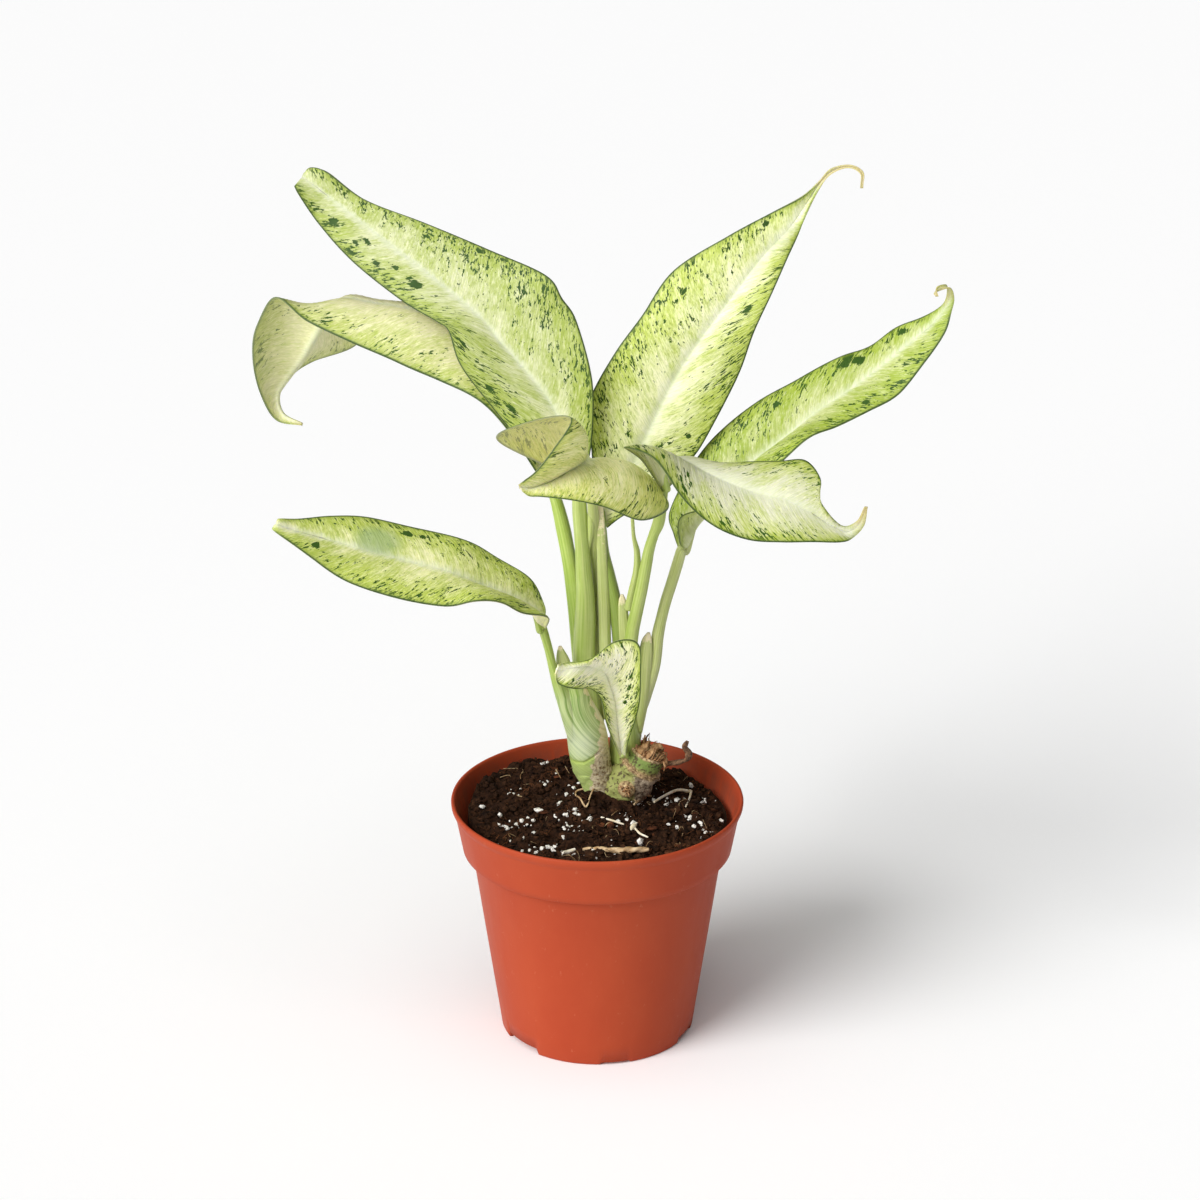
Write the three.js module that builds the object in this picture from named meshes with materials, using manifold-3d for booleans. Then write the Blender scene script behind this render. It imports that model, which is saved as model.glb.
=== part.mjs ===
// Potted dieffenbachia: eight variegated leaves on two shoots, an old cut cane,
// soil and a ribbed-collar nursery pot. Millimetres, +Z up, the origin at the
// centre of the pot's floor, +X to the right and +Y away from the viewer.
import * as THREE from 'three';
import { mergeVertices } from 'three/addons/utils/BufferGeometryUtils.js';
import Module from 'manifold-3d';

const wasm = await Module();
wasm.setup();

// Pot
const POT_HEIGHT = 90;
const POT_SIDES = 48;
const FLOOR = 2;
const FOOT_R = 35.1;
const STEP_Z = 71.5;
const STEP_R = 45.2;
const COLLAR_LOW_R = 48.5;
const COLLAR_TOP_R = 51.2;
const RIM_R = 52.5;
const WALL = 1.3;
// Foot notches: middle angle from -Y towards +X and half angle in degrees, height
const NOTCHES = [
  [10.5, 8.5, 1.1], [-52, 14, 2.5], [66, 9, 2.3], [-100, 9, 1.1],
  [118, 12, 2.5], [170, 12, 2.3], [-150, 12, 2.5],
];
const NOTCH_DEPTH = 5;
const SHELF_Z = STEP_Z + WALL;

// Clearance between neighbouring pieces
const GAP = 0.32;

// Soil
const SOIL_SIDES = 36;
const SOIL_RINGS = [5, 10, 15, 20, 25, 30, 35, 40, 44, 46.6];
const LUMPS = 12;
// One thick old root lies across the front: points down its middle with the radius there
const FRONT_ROOT = [[-5, -32, 84.9, 0.6], [0, -33, 85.4, 1], [7, -33.4, 85.2, 1], [12, -33, 85.2, 1.1],
  [18, -31.5, 84.6, 0.8]];

// Blades
const BLADE = 0.8;
const BLADE_ALONG = 20;
const BLADE_ACROSS = 8;
const RIB_DEPTH = 1.6;
const RIB_HALF = 0.16;
const WAVE_RISE = 0.05;

// Each leaf: stations from the stalk to the tip. A station is the midrib point,
// the step from it to the left margin and the step to the right margin.
// bow: how far each half arches up between midrib and margin, as a part of its width.
const LEAVES = {
  leaf_upper_left: {
    stations: [
      [-6.6, 5.6, 203, -1.5, -1, 1, 2, -1, 2],
      [-7.4, 6.6, 208.5, -6, -4, 1.5, 2.5, -4, 3],
      [-9, 9, 219, -15, -1, 0, 7, -1.5, 2.5],
      [-16, 13, 235, -21.5, -1.5, 0.5, 14.5, -3, 8.5],
      [-27, 18, 248, -20.5, -2.5, 0.5, 20, -2.5, 15.5],
      [-34, 21, 255, -17.5, -3, 4.5, 22, -1.5, 16],
      [-41, 24, 263, -14.5, -3, -1, 23.5, -0.5, 15],
      [-58, 30, 276, -9.5, -3, -8.5, 21, 0, 9],
      [-77, 37, 289, -8, -2.5, -9.5, 17.5, -1, 4],
      [-91, 42, 299, -6, -1.5, -7.5, 10.5, -1, 1],
      [-100, 46, 305, -4.5, -4, -2, 6, -4, 5],
      [-103, 51, 305, -1.5, -2, -2.5, 2.5, -2, 4],
      [-100, 55, 301, -1.5, -1, -1.5, 2.5, -1, 2.5],
    ],
  },
  leaf_far_left: {
    stations: [
      [-17, 18, 203, -1.5, -2, 0.5, 1.5, 2, 0],
      [-24, 21, 222, -5.5, -10, 0.5, 3.5, 10, -1],
      [-34, 25, 240, -6.5, -12, -4.5, 4, 14, 0.5],
      [-47, 29, 254, -7.5, -11, -12, 4, 17, -2.5],
      [-62, 33, 262, -7, -11, -15.5, 2, 19, -8],
      [-78, 39, 263, -6.5, -12, -12, 2, 19, -10],
      [-91, 46, 262, -10.5, -12, -4, 8.5, 16, -9],
      [-99, 51, 249, -14.5, -6, 15, 12.5, 12, -9.5],
      [-105, 52, 238, -15, -8, 15.5, 2.5, 14, -6],
      [-110, 50, 232, -11, -10, 10.5, 0, 11, -3],
      [-114, 47, 226, -5.5, -6, 3, 0, 7, -1.5],
      [-112, 44, 220, -2.5, -3, -1, 0, 3, -0.5],
      [-105, 42, 217, 0, -1, 0, 0, 1, 0],
    ],
  },
  leaf_upright: {
    stations: [
      [1.2, 11.2, 193, -1.5, -1, 1, 2.4, 0, -3.5],
      [2.6, 11.3, 198, -3.5, -2, 2.5, 6.4, -3.3, -3.1],
      [9, 13, 206, -10.5, 1, 4.5, 15, 0.5, -3.5],
      [15, 15, 218, -17.5, 0.5, 8.5, 17.5, 0.5, -5],
      [20, 17, 228, -22, 0.5, 8.5, 18, 0, -7],
      [28, 21, 243, -22, 0.5, 7.5, 21, 0, -1],
      [37, 24, 256, -21.5, 0.5, 7, 17.5, -0.5, 1.5],
      [48, 28, 270, -21.5, 1, 8, 12.5, -0.5, 0],
      [58, 31, 283, -12.5, 0.5, 7, 7.5, -0.5, -2],
      [67, 33, 293, -7, 0.5, 4.5, 2.5, 0, -3.5],
      [73, 34, 302, -2.5, -3, 2, 1, -3, 0],
      [77, 35, 308, -0.5, -0.5, 0.5, 1, -0.5, 0],
      [81, 35, 312, -0.5, -0.5, 1, 0.5, -0.5, -0.5],
      [87, 34, 314, 0, -0.5, 0.5, -0.5, -0.5, -0.5],
      [91, 32, 312, 0.5, -0.5, 0.5, -0.5, -0.5, 0],
      [91, 31, 307, 0.5, 0, 0, -0.5, 0, 0],
    ],
  },
  leaf_right: {
    stations: [
      [30, 4, 183, -1.5, 0, 1, 1, -1, 1],
      [32, 5, 188, -5, 2, 0.5, -3.5, -5, 1],
      [35, 7, 193, -10, 5, 2, -6, -8, 5],
      [42, 9, 201, -11, 8, 5, -0.5, -13, 2],
      [53, 13, 212, -11.5, 9, 7, 4.5, -15, 2],
      [66, 17, 221, -9.5, 10, 10.5, 5.5, -16, 4.5],
      [77, 21, 229, -6, 11, 8.5, 6, -14, -1],
      [89, 25, 236, -3, 11, 8, 5.5, -13, -3],
      [99, 28, 243, -3.5, 10, 4.5, 6.5, -11, -5.5],
      [108, 30, 250, -3.5, 8, 4, 6.5, -8, -3],
      [116, 32, 256, -2.5, 4, 2.5, 5, -5, 0],
      [121, 33, 262, -1, 2, 1, 2.5, -2, 0],
      [123, 33, 267, -1, 1, 0, 1.5, -1, 0],
      [122, 31, 271, -0.5, 1, 1, 0.5, -1, 0.5],
      [118, 29, 271, 0, 0, 1, -0.5, 0, -1],
      [118, 28, 269, 0.5, 0, 0, -0.5, 0, 0],
    ],
  },
  leaf_right_front: {
    stations: [
      [23, -10, 212, 1, 1, 0, -1, -1, 0.5],
      [23, -12, 218, 9, 9, -2, -8, -4.5, 7],
      [25, -15, 224, 11, 10, -5, -16, -9, 9],
      [30, -19, 225, 10.5, 10, -5, -11, -11, 5],
      [37, -24, 223, 9, 9, 0, -8.5, -12, -5],
      [45, -29, 221, 7.5, 8, 4.5, -6.5, -11, -10.5],
      [54, -33, 219, 7.5, 8, 8.5, -3.5, -9, -13],
      [63, -37, 218, 7, 8, 11.5, -1, -7, -12.5],
      [71, -40, 215, 4, 5, 10, 1.5, -5, -9],
      [78, -42, 211, -3.5, 3, 8, 3.5, -3, -5],
      [84, -43, 209, -2.5, 1, 2, 1.5, -1, -2],
      [88, -43, 212, -1, 0.5, 0.5, 1.5, -0.5, -0.5],
      [90, -43, 218, -0.5, 0, 0, 0.5, 0, 0],
    ],
  },
  leaf_centre_front: {
    stations: [
      [-2, -1, 210, 1.5, -1, 0.5, -1.5, -1, 0.5],
      [-2, -4, 218, 19, 4, -10.5, -18, -8, 4.5],
      [-2, -9, 222, 25.5, 2, -15, -31.5, -9, 12.5],
      [-3, -16, 225, 27, -4, -16.5, -22.5, -12, 17],
      [-5, -23, 226, 20, -10, -16.5, -5, -14, 21],
      [-10, -31, 226, 11.5, -10, -9, -5, -13, 12.5],
      [-16, -38, 225, 6.5, -7, -4, -4, -8, 7],
      [-22, -44, 225, 3.5, -3, -2, -2, -3, 4],
      [-24.5, -46.4, 226, 2, -1, -2.5, -1, -1, 2],
      [-25.8, -47.6, 226.6, 0.8, -0.4, -1.2, -0.5, -0.4, 1],
    ],
  },
  leaf_lower_left: {
    stations: [
      [-19, -6, 158, 1, -1, 0.5, -1, 1, 0],
      [-21, -8, 164, 3.5, -7, 2, 3, 7, -1],
      [-24, -9, 168, -1, -12, 2.5, 4.5, 9, -1.5],
      [-31, -12, 173, -1.5, -15, 3, 6.5, 10, 3],
      [-41, -16, 179, -1, -16, 0, 6.5, 12, 5.5],
      [-51, -20, 185, -1, -14, -6.5, 6, 13, 6],
      [-66, -24, 191, -2, -12, -9.5, 4, 11, 7.5],
      [-81, -28, 197, -3, -10, -8.5, 3, 9, 8],
      [-94, -31, 202, -2.5, -8, -4, 3, 6, 5.5],
      [-103, -34, 206, -2, -4, -2, 2, 3, 3],
      [-108, -36, 209, -1.5, -1, -1.5, 0.5, 1, 1.5],
      [-107, -31, 206, -0.5, -1, -0.5, 1, 1, 0.5],
    ],
  },
  leaf_small_front: {
    stations: [
      [9, -1.4, 106.9, -1, -0.5, 0, 1, -0.5, 0],
      [8, -2.8, 112.1, -2, -3, 1.5, 3, -3, 2.5],
      [7, -6.6, 122.5, -4, -5, 2.5, 6.5, -5, 3],
      [6, -10.6, 132.9, -4.5, -7, 2.5, 9, -6, 3],
      [4, -14.6, 141.4, -5.5, -7, 0, 11, -5, 6.5],
      [2, -20, 148, -6.5, -6, -3.5, 12, -3, 12],
      [-2, -25, 152, -5.5, -5, -6, 8.5, -1, 9.5],
      [-7, -30, 154, -3.5, -4, -6, 5, 1, 2.5],
      [-12, -33, 154, -1.5, -2, -4, 1.5, 1, 2.5],
      [-14, -35, 155, -0.5, -1, -1, 0.5, 0, 2],
    ],
  },
};
const BOWS = {
  leaf_upper_left: 0.06,
  leaf_far_left: 0.14,
  leaf_upright: 0.06,
  leaf_right: 0.08,
  leaf_right_front: 0.12,
  leaf_centre_front: 0.18,
  leaf_lower_left: 0.1,
  leaf_small_front: 0.08,
};
const WAVES = {
  leaf_upper_left: 4,
  leaf_far_left: 3,
  leaf_upright: 4,
  leaf_right: 5,
  leaf_right_front: 3,
  leaf_centre_front: 2,
  leaf_lower_left: 4,
  leaf_small_front: 2,
};

// Stalks: points down the middle with the radius there, from the blade downwards
const TUBE_SIDES = 8;
const LEFT_STALKS = [
  // to the far left leaf
  [[-17.2, 18, 203.2, 1.7], [-14.6, 17, 197.9, 2.1], [-12.1, 14.5, 188.2, 2.6], [-10.6, 12.5, 180.8, 2.6],
    [-9.4, 11, 174.5, 2.7], [-8.2, 9.5, 166.1, 2.9], [-7.2, 8.5, 158.1, 3.1], [-6.3, 7.5, 148.1, 3.2],
    [-5.1, 7, 134.7, 3.3], [-3.3, 7, 119.1, 3.4]],
  // to the upper left leaf
  [[-6.3, 5, 203.3, 2.5], [-6.1, 5, 197.4, 2.6], [-5.7, 5, 190.6, 2.5], [-5.2, 5, 183.7, 2.6],
    [-4.8, 4.5, 175.7, 2.8], [-4.2, 4.5, 166.7, 3.2], [-4.3, 4.5, 156.3, 3.7], [-4.7, 5, 142.1, 3.9],
    [-4, 5.5, 127.6, 4.1], [-2.6, 6.5, 111.5, 4.2]],
  // to the leaf at the front of the middle
  [[-2, -0.5, 208.8, 1.6], [-1.6, 3, 201, 1.9], [-1.1, 6, 192.4, 2], [-0.8, 8, 181.2, 2], [0.2, 9, 172.5, 2.1],
    [0.5, 9, 164.9, 2.1], [0.3, 9, 154.4, 2.1], [-0.5, 9, 141.8, 2.1], [-0.1, 9, 128, 2.4], [-0.1, 8.5, 110.6, 2.6]],
  // the loose edge of a sheath beside it
  [[-2, 4.4, 201.2, 1.1], [-2, 4.4, 196.4, 1.5], [-2.3, 4.6, 190.3, 1.2], [-3, 4.8, 183.9, 0.5]],
  // to the lower left leaf
  [[-19.7, -6, 159.5, 1.6], [-18.7, -6, 156.6, 1.6], [-17.1, -6, 150.4, 1.5], [-15.6, -5.5, 143.1, 1.6],
    [-13.5, -4, 134.9, 2.2], [-10.4, -1.5, 126.4, 3.4], [-6.9, 2, 115.5, 4.4], [-4, 4, 106.7, 4.6]],
];
const LEFT_SHEATH = [[-9.3, 0.5, 135.6, 3.2], [-9.1, 1, 131.5, 5.2], [-7.9, 1.5, 126.3, 6],
  [-6.2, 2.5, 121.1, 6.6], [-4.4, 3.5, 116, 7], [-3.5, 4.5, 111.2, 7.3], [-3, 5.2, 106.2, 7.3],
  [-2.3, 5.8, 101.9, 7.2], [-1.4, 6, 98.7, 6.7], [-0.1, 6, 93.9, 6], [1, 6, 87.9, 5.2]];
const RIGHT_STALKS = [
  // to the upright leaf
  [[1, 9.4, 195.6, 1.8], [1.1, 8, 189.4, 2.3], [2.2, 7.5, 181.4, 2.1], [4.1, 7, 173.3, 2.2],
    [6.1, 6.5, 163.8, 2.4], [7.2, 6.5, 155.5, 2.5], [7.9, 7, 146.3, 2.5], [8.1, 7.5, 134.5, 2.6],
    [8.1, 8, 122.6, 2.8], [8.2, 9, 106.4, 3]],
  // to the leaf at the right front
  [[22.9, -9.9, 211.9, 1.6], [21.4, -8, 199.7, 2.1], [19.6, -6.5, 193.7, 1.8], [18.1, -5, 187.7, 1.9],
    [16.9, -3.5, 180.3, 2.1], [15.5, -1.5, 171.3, 2.2], [14, 0.5, 162.9, 2.3], [12.4, 2.5, 153.6, 2.4],
    [11.4, 4, 143.8, 2.6], [10.8, 6, 129.3, 2.8], [10.3, 8, 110.8, 3]],
  // to the leaf at the right
  [[29.7, 4, 184, 1.9], [28.2, 5, 178.3, 2], [26.3, 5.6, 171.1, 2], [24.3, 6, 164, 2], [22.7, 6.5, 156.9, 2],
    [21.4, 7, 149.7, 2.2], [20.2, 8, 138.2, 2.3], [17, 9, 126.2, 2.5], [15, 9.5, 119.2, 2.5],
    [13.2, 10, 109.9, 2.7], [12.5, 10, 100, 3]],
  // the loose edge of a sheath beside it
  [[12.2, -4, 198.8, 0.6], [12.7, -3, 191.6, 0.7], [13.9, -1.6, 185, 1.1], [13.8, -1, 177.9, 1.3],
    [12.3, 0, 170, 1.4], [11, 1.5, 162.5, 1.5]],
  // to the small leaf at the front
  [[9, -1.6, 107.2, 1.2], [9, 1, 108, 1.6], [9.2, 5, 109, 1.8]],
];
const RIGHT_SHEATH = [[10.3, 8, 123.4, 3.2], [9.9, 8.5, 115.7, 4.8], [10, 9, 107.6, 5.7], [10, 9.5, 98.2, 5.7],
  [10, 9.5, 88.3, 5.2], [10, 9.5, 76.2, 4.8]];
// Dried tips of old sheaths, standing off the shoots
const LEFT_TIPS = [
  [[-13.1, -3, 150.2, 0.4], [-12.8, -2.6, 147.8, 1.2], [-12.1, -2, 144, 2.2], [-11.1, -1, 139.4, 2.6]],
];
const RIGHT_TIPS = [
  [[18, 5, 151.8, 0.4], [17.4, 5.4, 148.6, 1.5], [16.9, 6, 142.9, 2], [16.3, 7, 135.9, 2.4]],
  [[8.9, 3.6, 166, 0.4], [8.9, 4, 163.3, 1.1], [9.1, 4.5, 157.8, 1.3]],
];

// Old cane: middle lines with radius; the young end stands on the thicker old piece at a leaf scar
const CANE_TOP = [[18.2, 4.5, 105.3, 6.2], [17.5, 4.5, 103.7, 6.6], [16, 4.6, 100.6, 6.6], [14, 4.9, 97, 6.2]];
const CANE = [[15.9, 4.6, 100.6, 7.5], [15.2, 4.7, 99.4, 8.1], [13.7, 5, 97, 7.9], [11.4, 5.4, 93.8, 8.4],
  [8.9, 5.8, 90.4, 8.2], [6.6, 6, 86.3, 7.6], [4.8, 6, 79.9, 6]];
// Swollen foot of the left shoot, grown from the cane: middle and half sizes
const KNOB = [[-1.5, 6, 98.3], [7.1, 6.5, 6.2]];
const BUD = [[10.5, -4.4, 94.9, 1.6], [10.5, -2.8, 94.5, 3.2], [11, 3, 93.7, 3.3]];
const SPROUT = [[32.3, 3, 110.7, 0.5], [31.3, 3, 108.4, 0.9], [32.7, 3, 106, 1.1], [32.2, 3, 103.6, 1.2],
  [29.7, 3, 102.5, 1.1], [26.8, 3.5, 101.8, 1.1], [22.9, 4, 101.2, 1.4], [18.2, 5, 99.1, 1.6]];
const ROOTS = [
  [[3, 3, 86, 2.2], [-1, -8, 80, 1.6], [-6, -18, 68, 1.2], [-9, -24, 52, 0.9]],
  [[6, 6, 84, 2.2], [12, 12, 76, 1.6], [16, 17, 62, 1.2], [18, 21, 46, 0.9]],
  [[2, 6, 84, 2.2], [-7, 9, 76, 1.6], [-15, 13, 62, 1.2], [-18, 16, 48, 0.9]],
  [[8, 3, 86, 2.2], [15, -5, 78, 1.6], [20, -15, 64, 1.2], [22, -19, 50, 0.9]],
];

const mesh = (name, solid, look) => {
  const data = solid.getMesh();
  const geometry = new THREE.BufferGeometry();
  geometry.setAttribute('position', new THREE.BufferAttribute(new Float32Array(data.vertProperties), 3));
  geometry.setIndex(new THREE.BufferAttribute(new Uint32Array(data.triVerts), 1));
  const shown = new THREE.Mesh(geometry, new THREE.MeshStandardMaterial(look));
  shown.name = name;
  return shown;
};

const solidOf = (points, faces) => {
  const raw = new THREE.BufferGeometry();
  raw.setAttribute('position', new THREE.BufferAttribute(new Float32Array(points.flat()), 3));
  raw.setIndex(faces.flat());
  const geometry = mergeVertices(raw, 1e-4);
  return new wasm.Manifold(new wasm.Mesh({
    numProp: 3,
    vertProperties: new Float32Array(geometry.attributes.position.array),
    triVerts: new Uint32Array(geometry.index.array),
  }));
};

const add = (a, b) => a.map((q, i) => q + b[i]);
const sub = (a, b) => a.map((q, i) => q - b[i]);
const times = (a, k) => a.map((q) => q * k);
const dot = (a, b) => a.reduce((sum, q, i) => sum + q * b[i], 0);
const cross = (a, b) => [a[1] * b[2] - a[2] * b[1], a[2] * b[0] - a[0] * b[2], a[0] * b[1] - a[1] * b[0]];
const length = (a) => Math.hypot(...a);
const unit = (a) => times(a, 1 / (length(a) || 1));

// Catmull-Rom curve through rows of numbers, t from 0 to 1
const through = (rows, t) => {
  const at = Math.min(t, 1) * (rows.length - 1);
  const i = Math.min(Math.floor(at), rows.length - 2);
  const f = at - i;
  const last = rows.length - 1;
  const b = rows[i];
  const c = rows[i + 1];
  const a = i > 0 ? rows[i - 1] : sub(times(b, 2), c);
  const d = i + 2 <= last ? rows[i + 2] : sub(times(c, 2), b);
  return b.map((q, k) => 0.5 * (2 * q + (c[k] - a[k]) * f + (2 * a[k] - 5 * q + 4 * c[k] - d[k]) * f * f
    + (3 * q - 3 * c[k] + d[k] - a[k]) * f * f * f));
};

// Closed tube along points with radii, carried along without twist; grow fattens it
const tube = (rows, along = 12, grow = 0, sides = TUBE_SIDES) => {
  const points = [];
  const faces = [];
  let side = null;
  for (let i = 0; i <= along; i += 1) {
    const t = i / along;
    const [x, y, z, r] = through(rows, t);
    const ahead = through(rows, Math.min(t + 0.01, 1));
    const behind = through(rows, Math.max(t - 0.01, 0));
    const axis = unit(sub(ahead.slice(0, 3), behind.slice(0, 3)));
    side = unit(side ? sub(side, times(axis, dot(side, axis))) : cross(axis, [0, 1, 0.2]));
    const other = cross(axis, side);
    const end = i === 0 ? -grow : i === along ? grow : 0;
    for (let j = 0; j < sides; j += 1) {
      const a = (2 * Math.PI * j) / sides;
      const out = add(times(side, Math.cos(a)), times(other, Math.sin(a)));
      points.push(add(add([x, y, z], times(axis, end)), times(out, Math.max(r, 0.3) + grow)));
    }
  }
  for (let i = 0; i < along; i += 1) {
    for (let j = 0; j < sides; j += 1) {
      const a = i * sides + j;
      const b = i * sides + ((j + 1) % sides);
      faces.push([a, b, b + sides], [a, b + sides, a + sides]);
    }
  }
  for (let j = 1; j < sides - 1; j += 1) {
    faces.push([0, j + 1, j]);
    const e = along * sides;
    faces.push([e, e + j, e + j + 1]);
  }
  return solidOf(points, faces);
};

const joined = (solids) => solids.reduce((whole, piece) => whole.add(piece));
// The largest body of a cut solid; loose scraps are dropped
const largest = (solid) => solid.decompose().sort((a, b) => b.volume() - a.volume())[0];

// Pot: the wall is turned from its section, the notches are cut in the foot
const makePot = () => {
  const section = [
    [0, 0], [FOOT_R - 0.9, 0], [FOOT_R, 0.9], [STEP_R, STEP_Z], [COLLAR_LOW_R, STEP_Z],
    [COLLAR_TOP_R, 86], [RIM_R - 0.3, 87.6], [RIM_R, 89.4], [RIM_R - 0.4, POT_HEIGHT],
    [RIM_R - WALL, POT_HEIGHT], [COLLAR_TOP_R - WALL, 86], [COLLAR_LOW_R - WALL, SHELF_Z],
    [STEP_R - WALL, SHELF_Z - 0.8], [FOOT_R - WALL, FLOOR + 0.8], [FOOT_R - WALL - 0.8, FLOOR], [0, FLOOR],
  ];
  let pot = wasm.Manifold.revolve([section], POT_SIDES);
  for (const [middle, half, high] of NOTCHES) {
    const a0 = ((middle - half) * Math.PI) / 180;
    const a1 = ((middle + half) * Math.PI) / 180;
    const inner = FOOT_R - NOTCH_DEPTH;
    const outer = FOOT_R + 3;
    const wedge = [[inner, a0], [outer, a0], [outer, (a0 + a1) / 2], [outer, a1], [inner, a1], [inner, (a0 + a1) / 2]]
      .map(([r, a]) => [r * Math.sin(a), -r * Math.cos(a)]);
    pot = pot.subtract(wasm.Manifold.extrude([wedge], high + 1).translate([0, 0, -1]));
  }
  return largest(pot);
};

// Height of the soil: a slope down to the right, a mound at the crown, one behind it to the left and lumps
const soilHeight = (x, y) => 84.6 - 0.05 * x + 0.015 * y
  + 5.4 * Math.exp(-((x - 4) ** 2 + (y - 5) ** 2) / 380)
  + 2.2 * Math.exp(-((x + 17) ** 2 + (y - 17) ** 2) / 110)
  + 0.9 * Math.sin(0.21 * x + 0.9) * Math.cos(0.19 * y - 0.4)
  + 0.6 * Math.sin(0.43 * x - 0.37 * y + 2) + 0.4 * Math.sin(0.71 * y + 0.3 * x);

const innerRadius = (z) => {
  const foot = FOOT_R - WALL;
  if (z < SHELF_Z) return foot + ((STEP_R - WALL - foot) * (z - FLOOR - 0.8)) / (SHELF_Z - 0.8 - FLOOR - 0.8);
  return COLLAR_LOW_R - WALL + ((COLLAR_TOP_R - COLLAR_LOW_R) * (z - SHELF_Z)) / (86 - SHELF_Z);
};

// Soil: a turned body inside the pot with the lumpy surface as its lid
const makeSoil = (holes) => {
  const points = [];
  const faces = [];
  const ring = (r, z) => {
    for (let j = 0; j < SOIL_SIDES; j += 1) {
      const a = (2 * Math.PI * (j + 0.5)) / SOIL_SIDES;
      const x = r * Math.cos(a);
      const y = r * Math.sin(a);
      points.push([x, y, z === null ? soilHeight(x, y) - 1.2 * Math.max(0, (r - 40) / 8) : z]);
    }
  };
  // the gap is widened by the sag of a flat side between two corners
  const room = GAP + 0.32;
  points.push([0, 0, soilHeight(0, 0)]);
  SOIL_RINGS.forEach((r) => ring(r, null));
  ring(innerRadius(SHELF_Z + 5) - room, SHELF_Z + 5);
  ring(innerRadius(SHELF_Z + 0.6) - room, SHELF_Z + 0.6);
  ring(STEP_R - WALL - room, SHELF_Z - 0.2);
  ring(innerRadius(STEP_Z - 2) - room, STEP_Z - 2);
  ring(FOOT_R - WALL - room, FLOOR + 1.2);
  ring(FOOT_R - WALL - 1 - room, FLOOR + GAP);
  points.push([0, 0, FLOOR + GAP]);
  const rings = SOIL_RINGS.length + 6;
  for (let j = 0; j < SOIL_SIDES; j += 1) {
    const k = (j + 1) % SOIL_SIDES;
    faces.push([0, 1 + j, 1 + k]);
    for (let i = 0; i < rings - 1; i += 1) {
      const a = 1 + i * SOIL_SIDES;
      const b = a + SOIL_SIDES;
      faces.push([a + j, b + j, b + k], [a + j, b + k, a + k]);
    }
    const e = 1 + (rings - 1) * SOIL_SIDES;
    faces.push([e + j, points.length - 1, e + k]);
  }
  let soil = solidOf(points, faces);
  // crumbs and grains, sunk two thirds in, placed by a seeded draw
  let seed = 7;
  const draw = () => {
    seed = (seed * 16807) % 2147483647;
    return seed / 2147483647;
  };
  for (let i = 0; i < LUMPS; i += 1) {
    const a = draw() * 2 * Math.PI;
    const r = 14 + 28 * Math.sqrt(draw());
    const size = 1.2 + 1.6 * draw();
    const x = r * Math.cos(a);
    const y = r * Math.sin(a);
    const lump = wasm.Manifold.sphere(size, 6).scale([1, 0.8, 0.7]).rotate([0, 0, 360 * draw()])
      .translate([x, y, soilHeight(x, y) - 0.15 * size]);
    soil = soil.add(lump);
  }
  soil = soil.add(tube(FRONT_ROOT, 10, 0, 6));
  return largest(soil.subtract(holes));
};

// A point of a blade: midrib + step to the margin, arched by bow and waved at the margin
const bladePoint = (leaf, bow, waves, u, v) => {
  const row = through(leaf, u);
  const half = v < 0 ? row.slice(3, 6) : row.slice(6, 9);
  const s = Math.abs(v);
  const wide = length(half);
  const up = row.slice(9, 12);
  const wave = Math.sin(2 * Math.PI * waves * u + (v < 0 ? 0 : 2));
  const lift = wide * (bow * 4 * s * (1 - s) + WAVE_RISE * s * s * wave);
  return add(add(row.slice(0, 3), times(half, s)), times(unit(up), lift));
};

const makeBlade = (name) => {
  const rows = LEAVES[name].stations;
  // the side the blade faces at each station: across it times along it
  const leaf = rows.map((row, i) => {
    const ahead = rows[Math.min(i + 1, rows.length - 1)];
    const behind = rows[Math.max(i - 1, 0)];
    const along = unit(sub(ahead.slice(0, 3), behind.slice(0, 3)));
    const acrossIt = unit(sub(row.slice(6, 9), row.slice(3, 6)));
    return [...row, ...unit(cross(acrossIt, along))];
  });
  const bow = BOWS[name];
  const waves = WAVES[name];
  const nu = BLADE_ALONG;
  const nv = BLADE_ACROSS;
  const at = (u, v) => bladePoint(leaf, bow, waves, Math.min(Math.max(u, 0), 1), Math.min(Math.max(v, -1), 1));
  const top = [];
  const under = [];
  for (let i = 0; i <= nu; i += 1) {
    for (let j = 0; j <= nv; j += 1) {
      const u = i / nu;
      const v = (2 * j) / nv - 1;
      const du = sub(at(u + 0.004, v), at(u - 0.004, v));
      const dv = sub(at(u, v + 0.03), at(u, v - 0.03));
      const face = unit(cross(dv, du));
      const rib = RIB_DEPTH * (1 - 0.8 * u) * Math.max(0, 1 - Math.abs(v) / RIB_HALF);
      const p = at(u, v);
      top.push(add(p, times(face, BLADE / 2)));
      under.push(sub(p, times(face, BLADE / 2 + rib)));
    }
  }
  const points = [...top, ...under];
  const n = top.length;
  const w = nv + 1;
  const faces = [];
  for (let i = 0; i < nu; i += 1) {
    for (let j = 0; j < nv; j += 1) {
      const a = i * w + j;
      const b = a + 1;
      const c = a + w;
      const d = c + 1;
      faces.push([a, b, d], [a, d, c]);
      faces.push([n + a, n + d, n + b], [n + a, n + c, n + d]);
    }
  }
  for (let i = 0; i < nu; i += 1) {
    const l = i * w;
    const r = i * w + nv;
    faces.push([l, l + w, n + l + w], [l, n + l + w, n + l]);
    faces.push([r, n + r + w, r + w], [r, n + r, n + r + w]);
  }
  for (let j = 0; j < nv; j += 1) {
    const e = nu * w + j;
    faces.push([j, n + j + 1, j + 1], [j, n + j, n + j + 1]);
    faces.push([e, e + 1, n + e + 1], [e, n + e + 1, n + e]);
  }
  return solidOf(points, faces);
};

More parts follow.
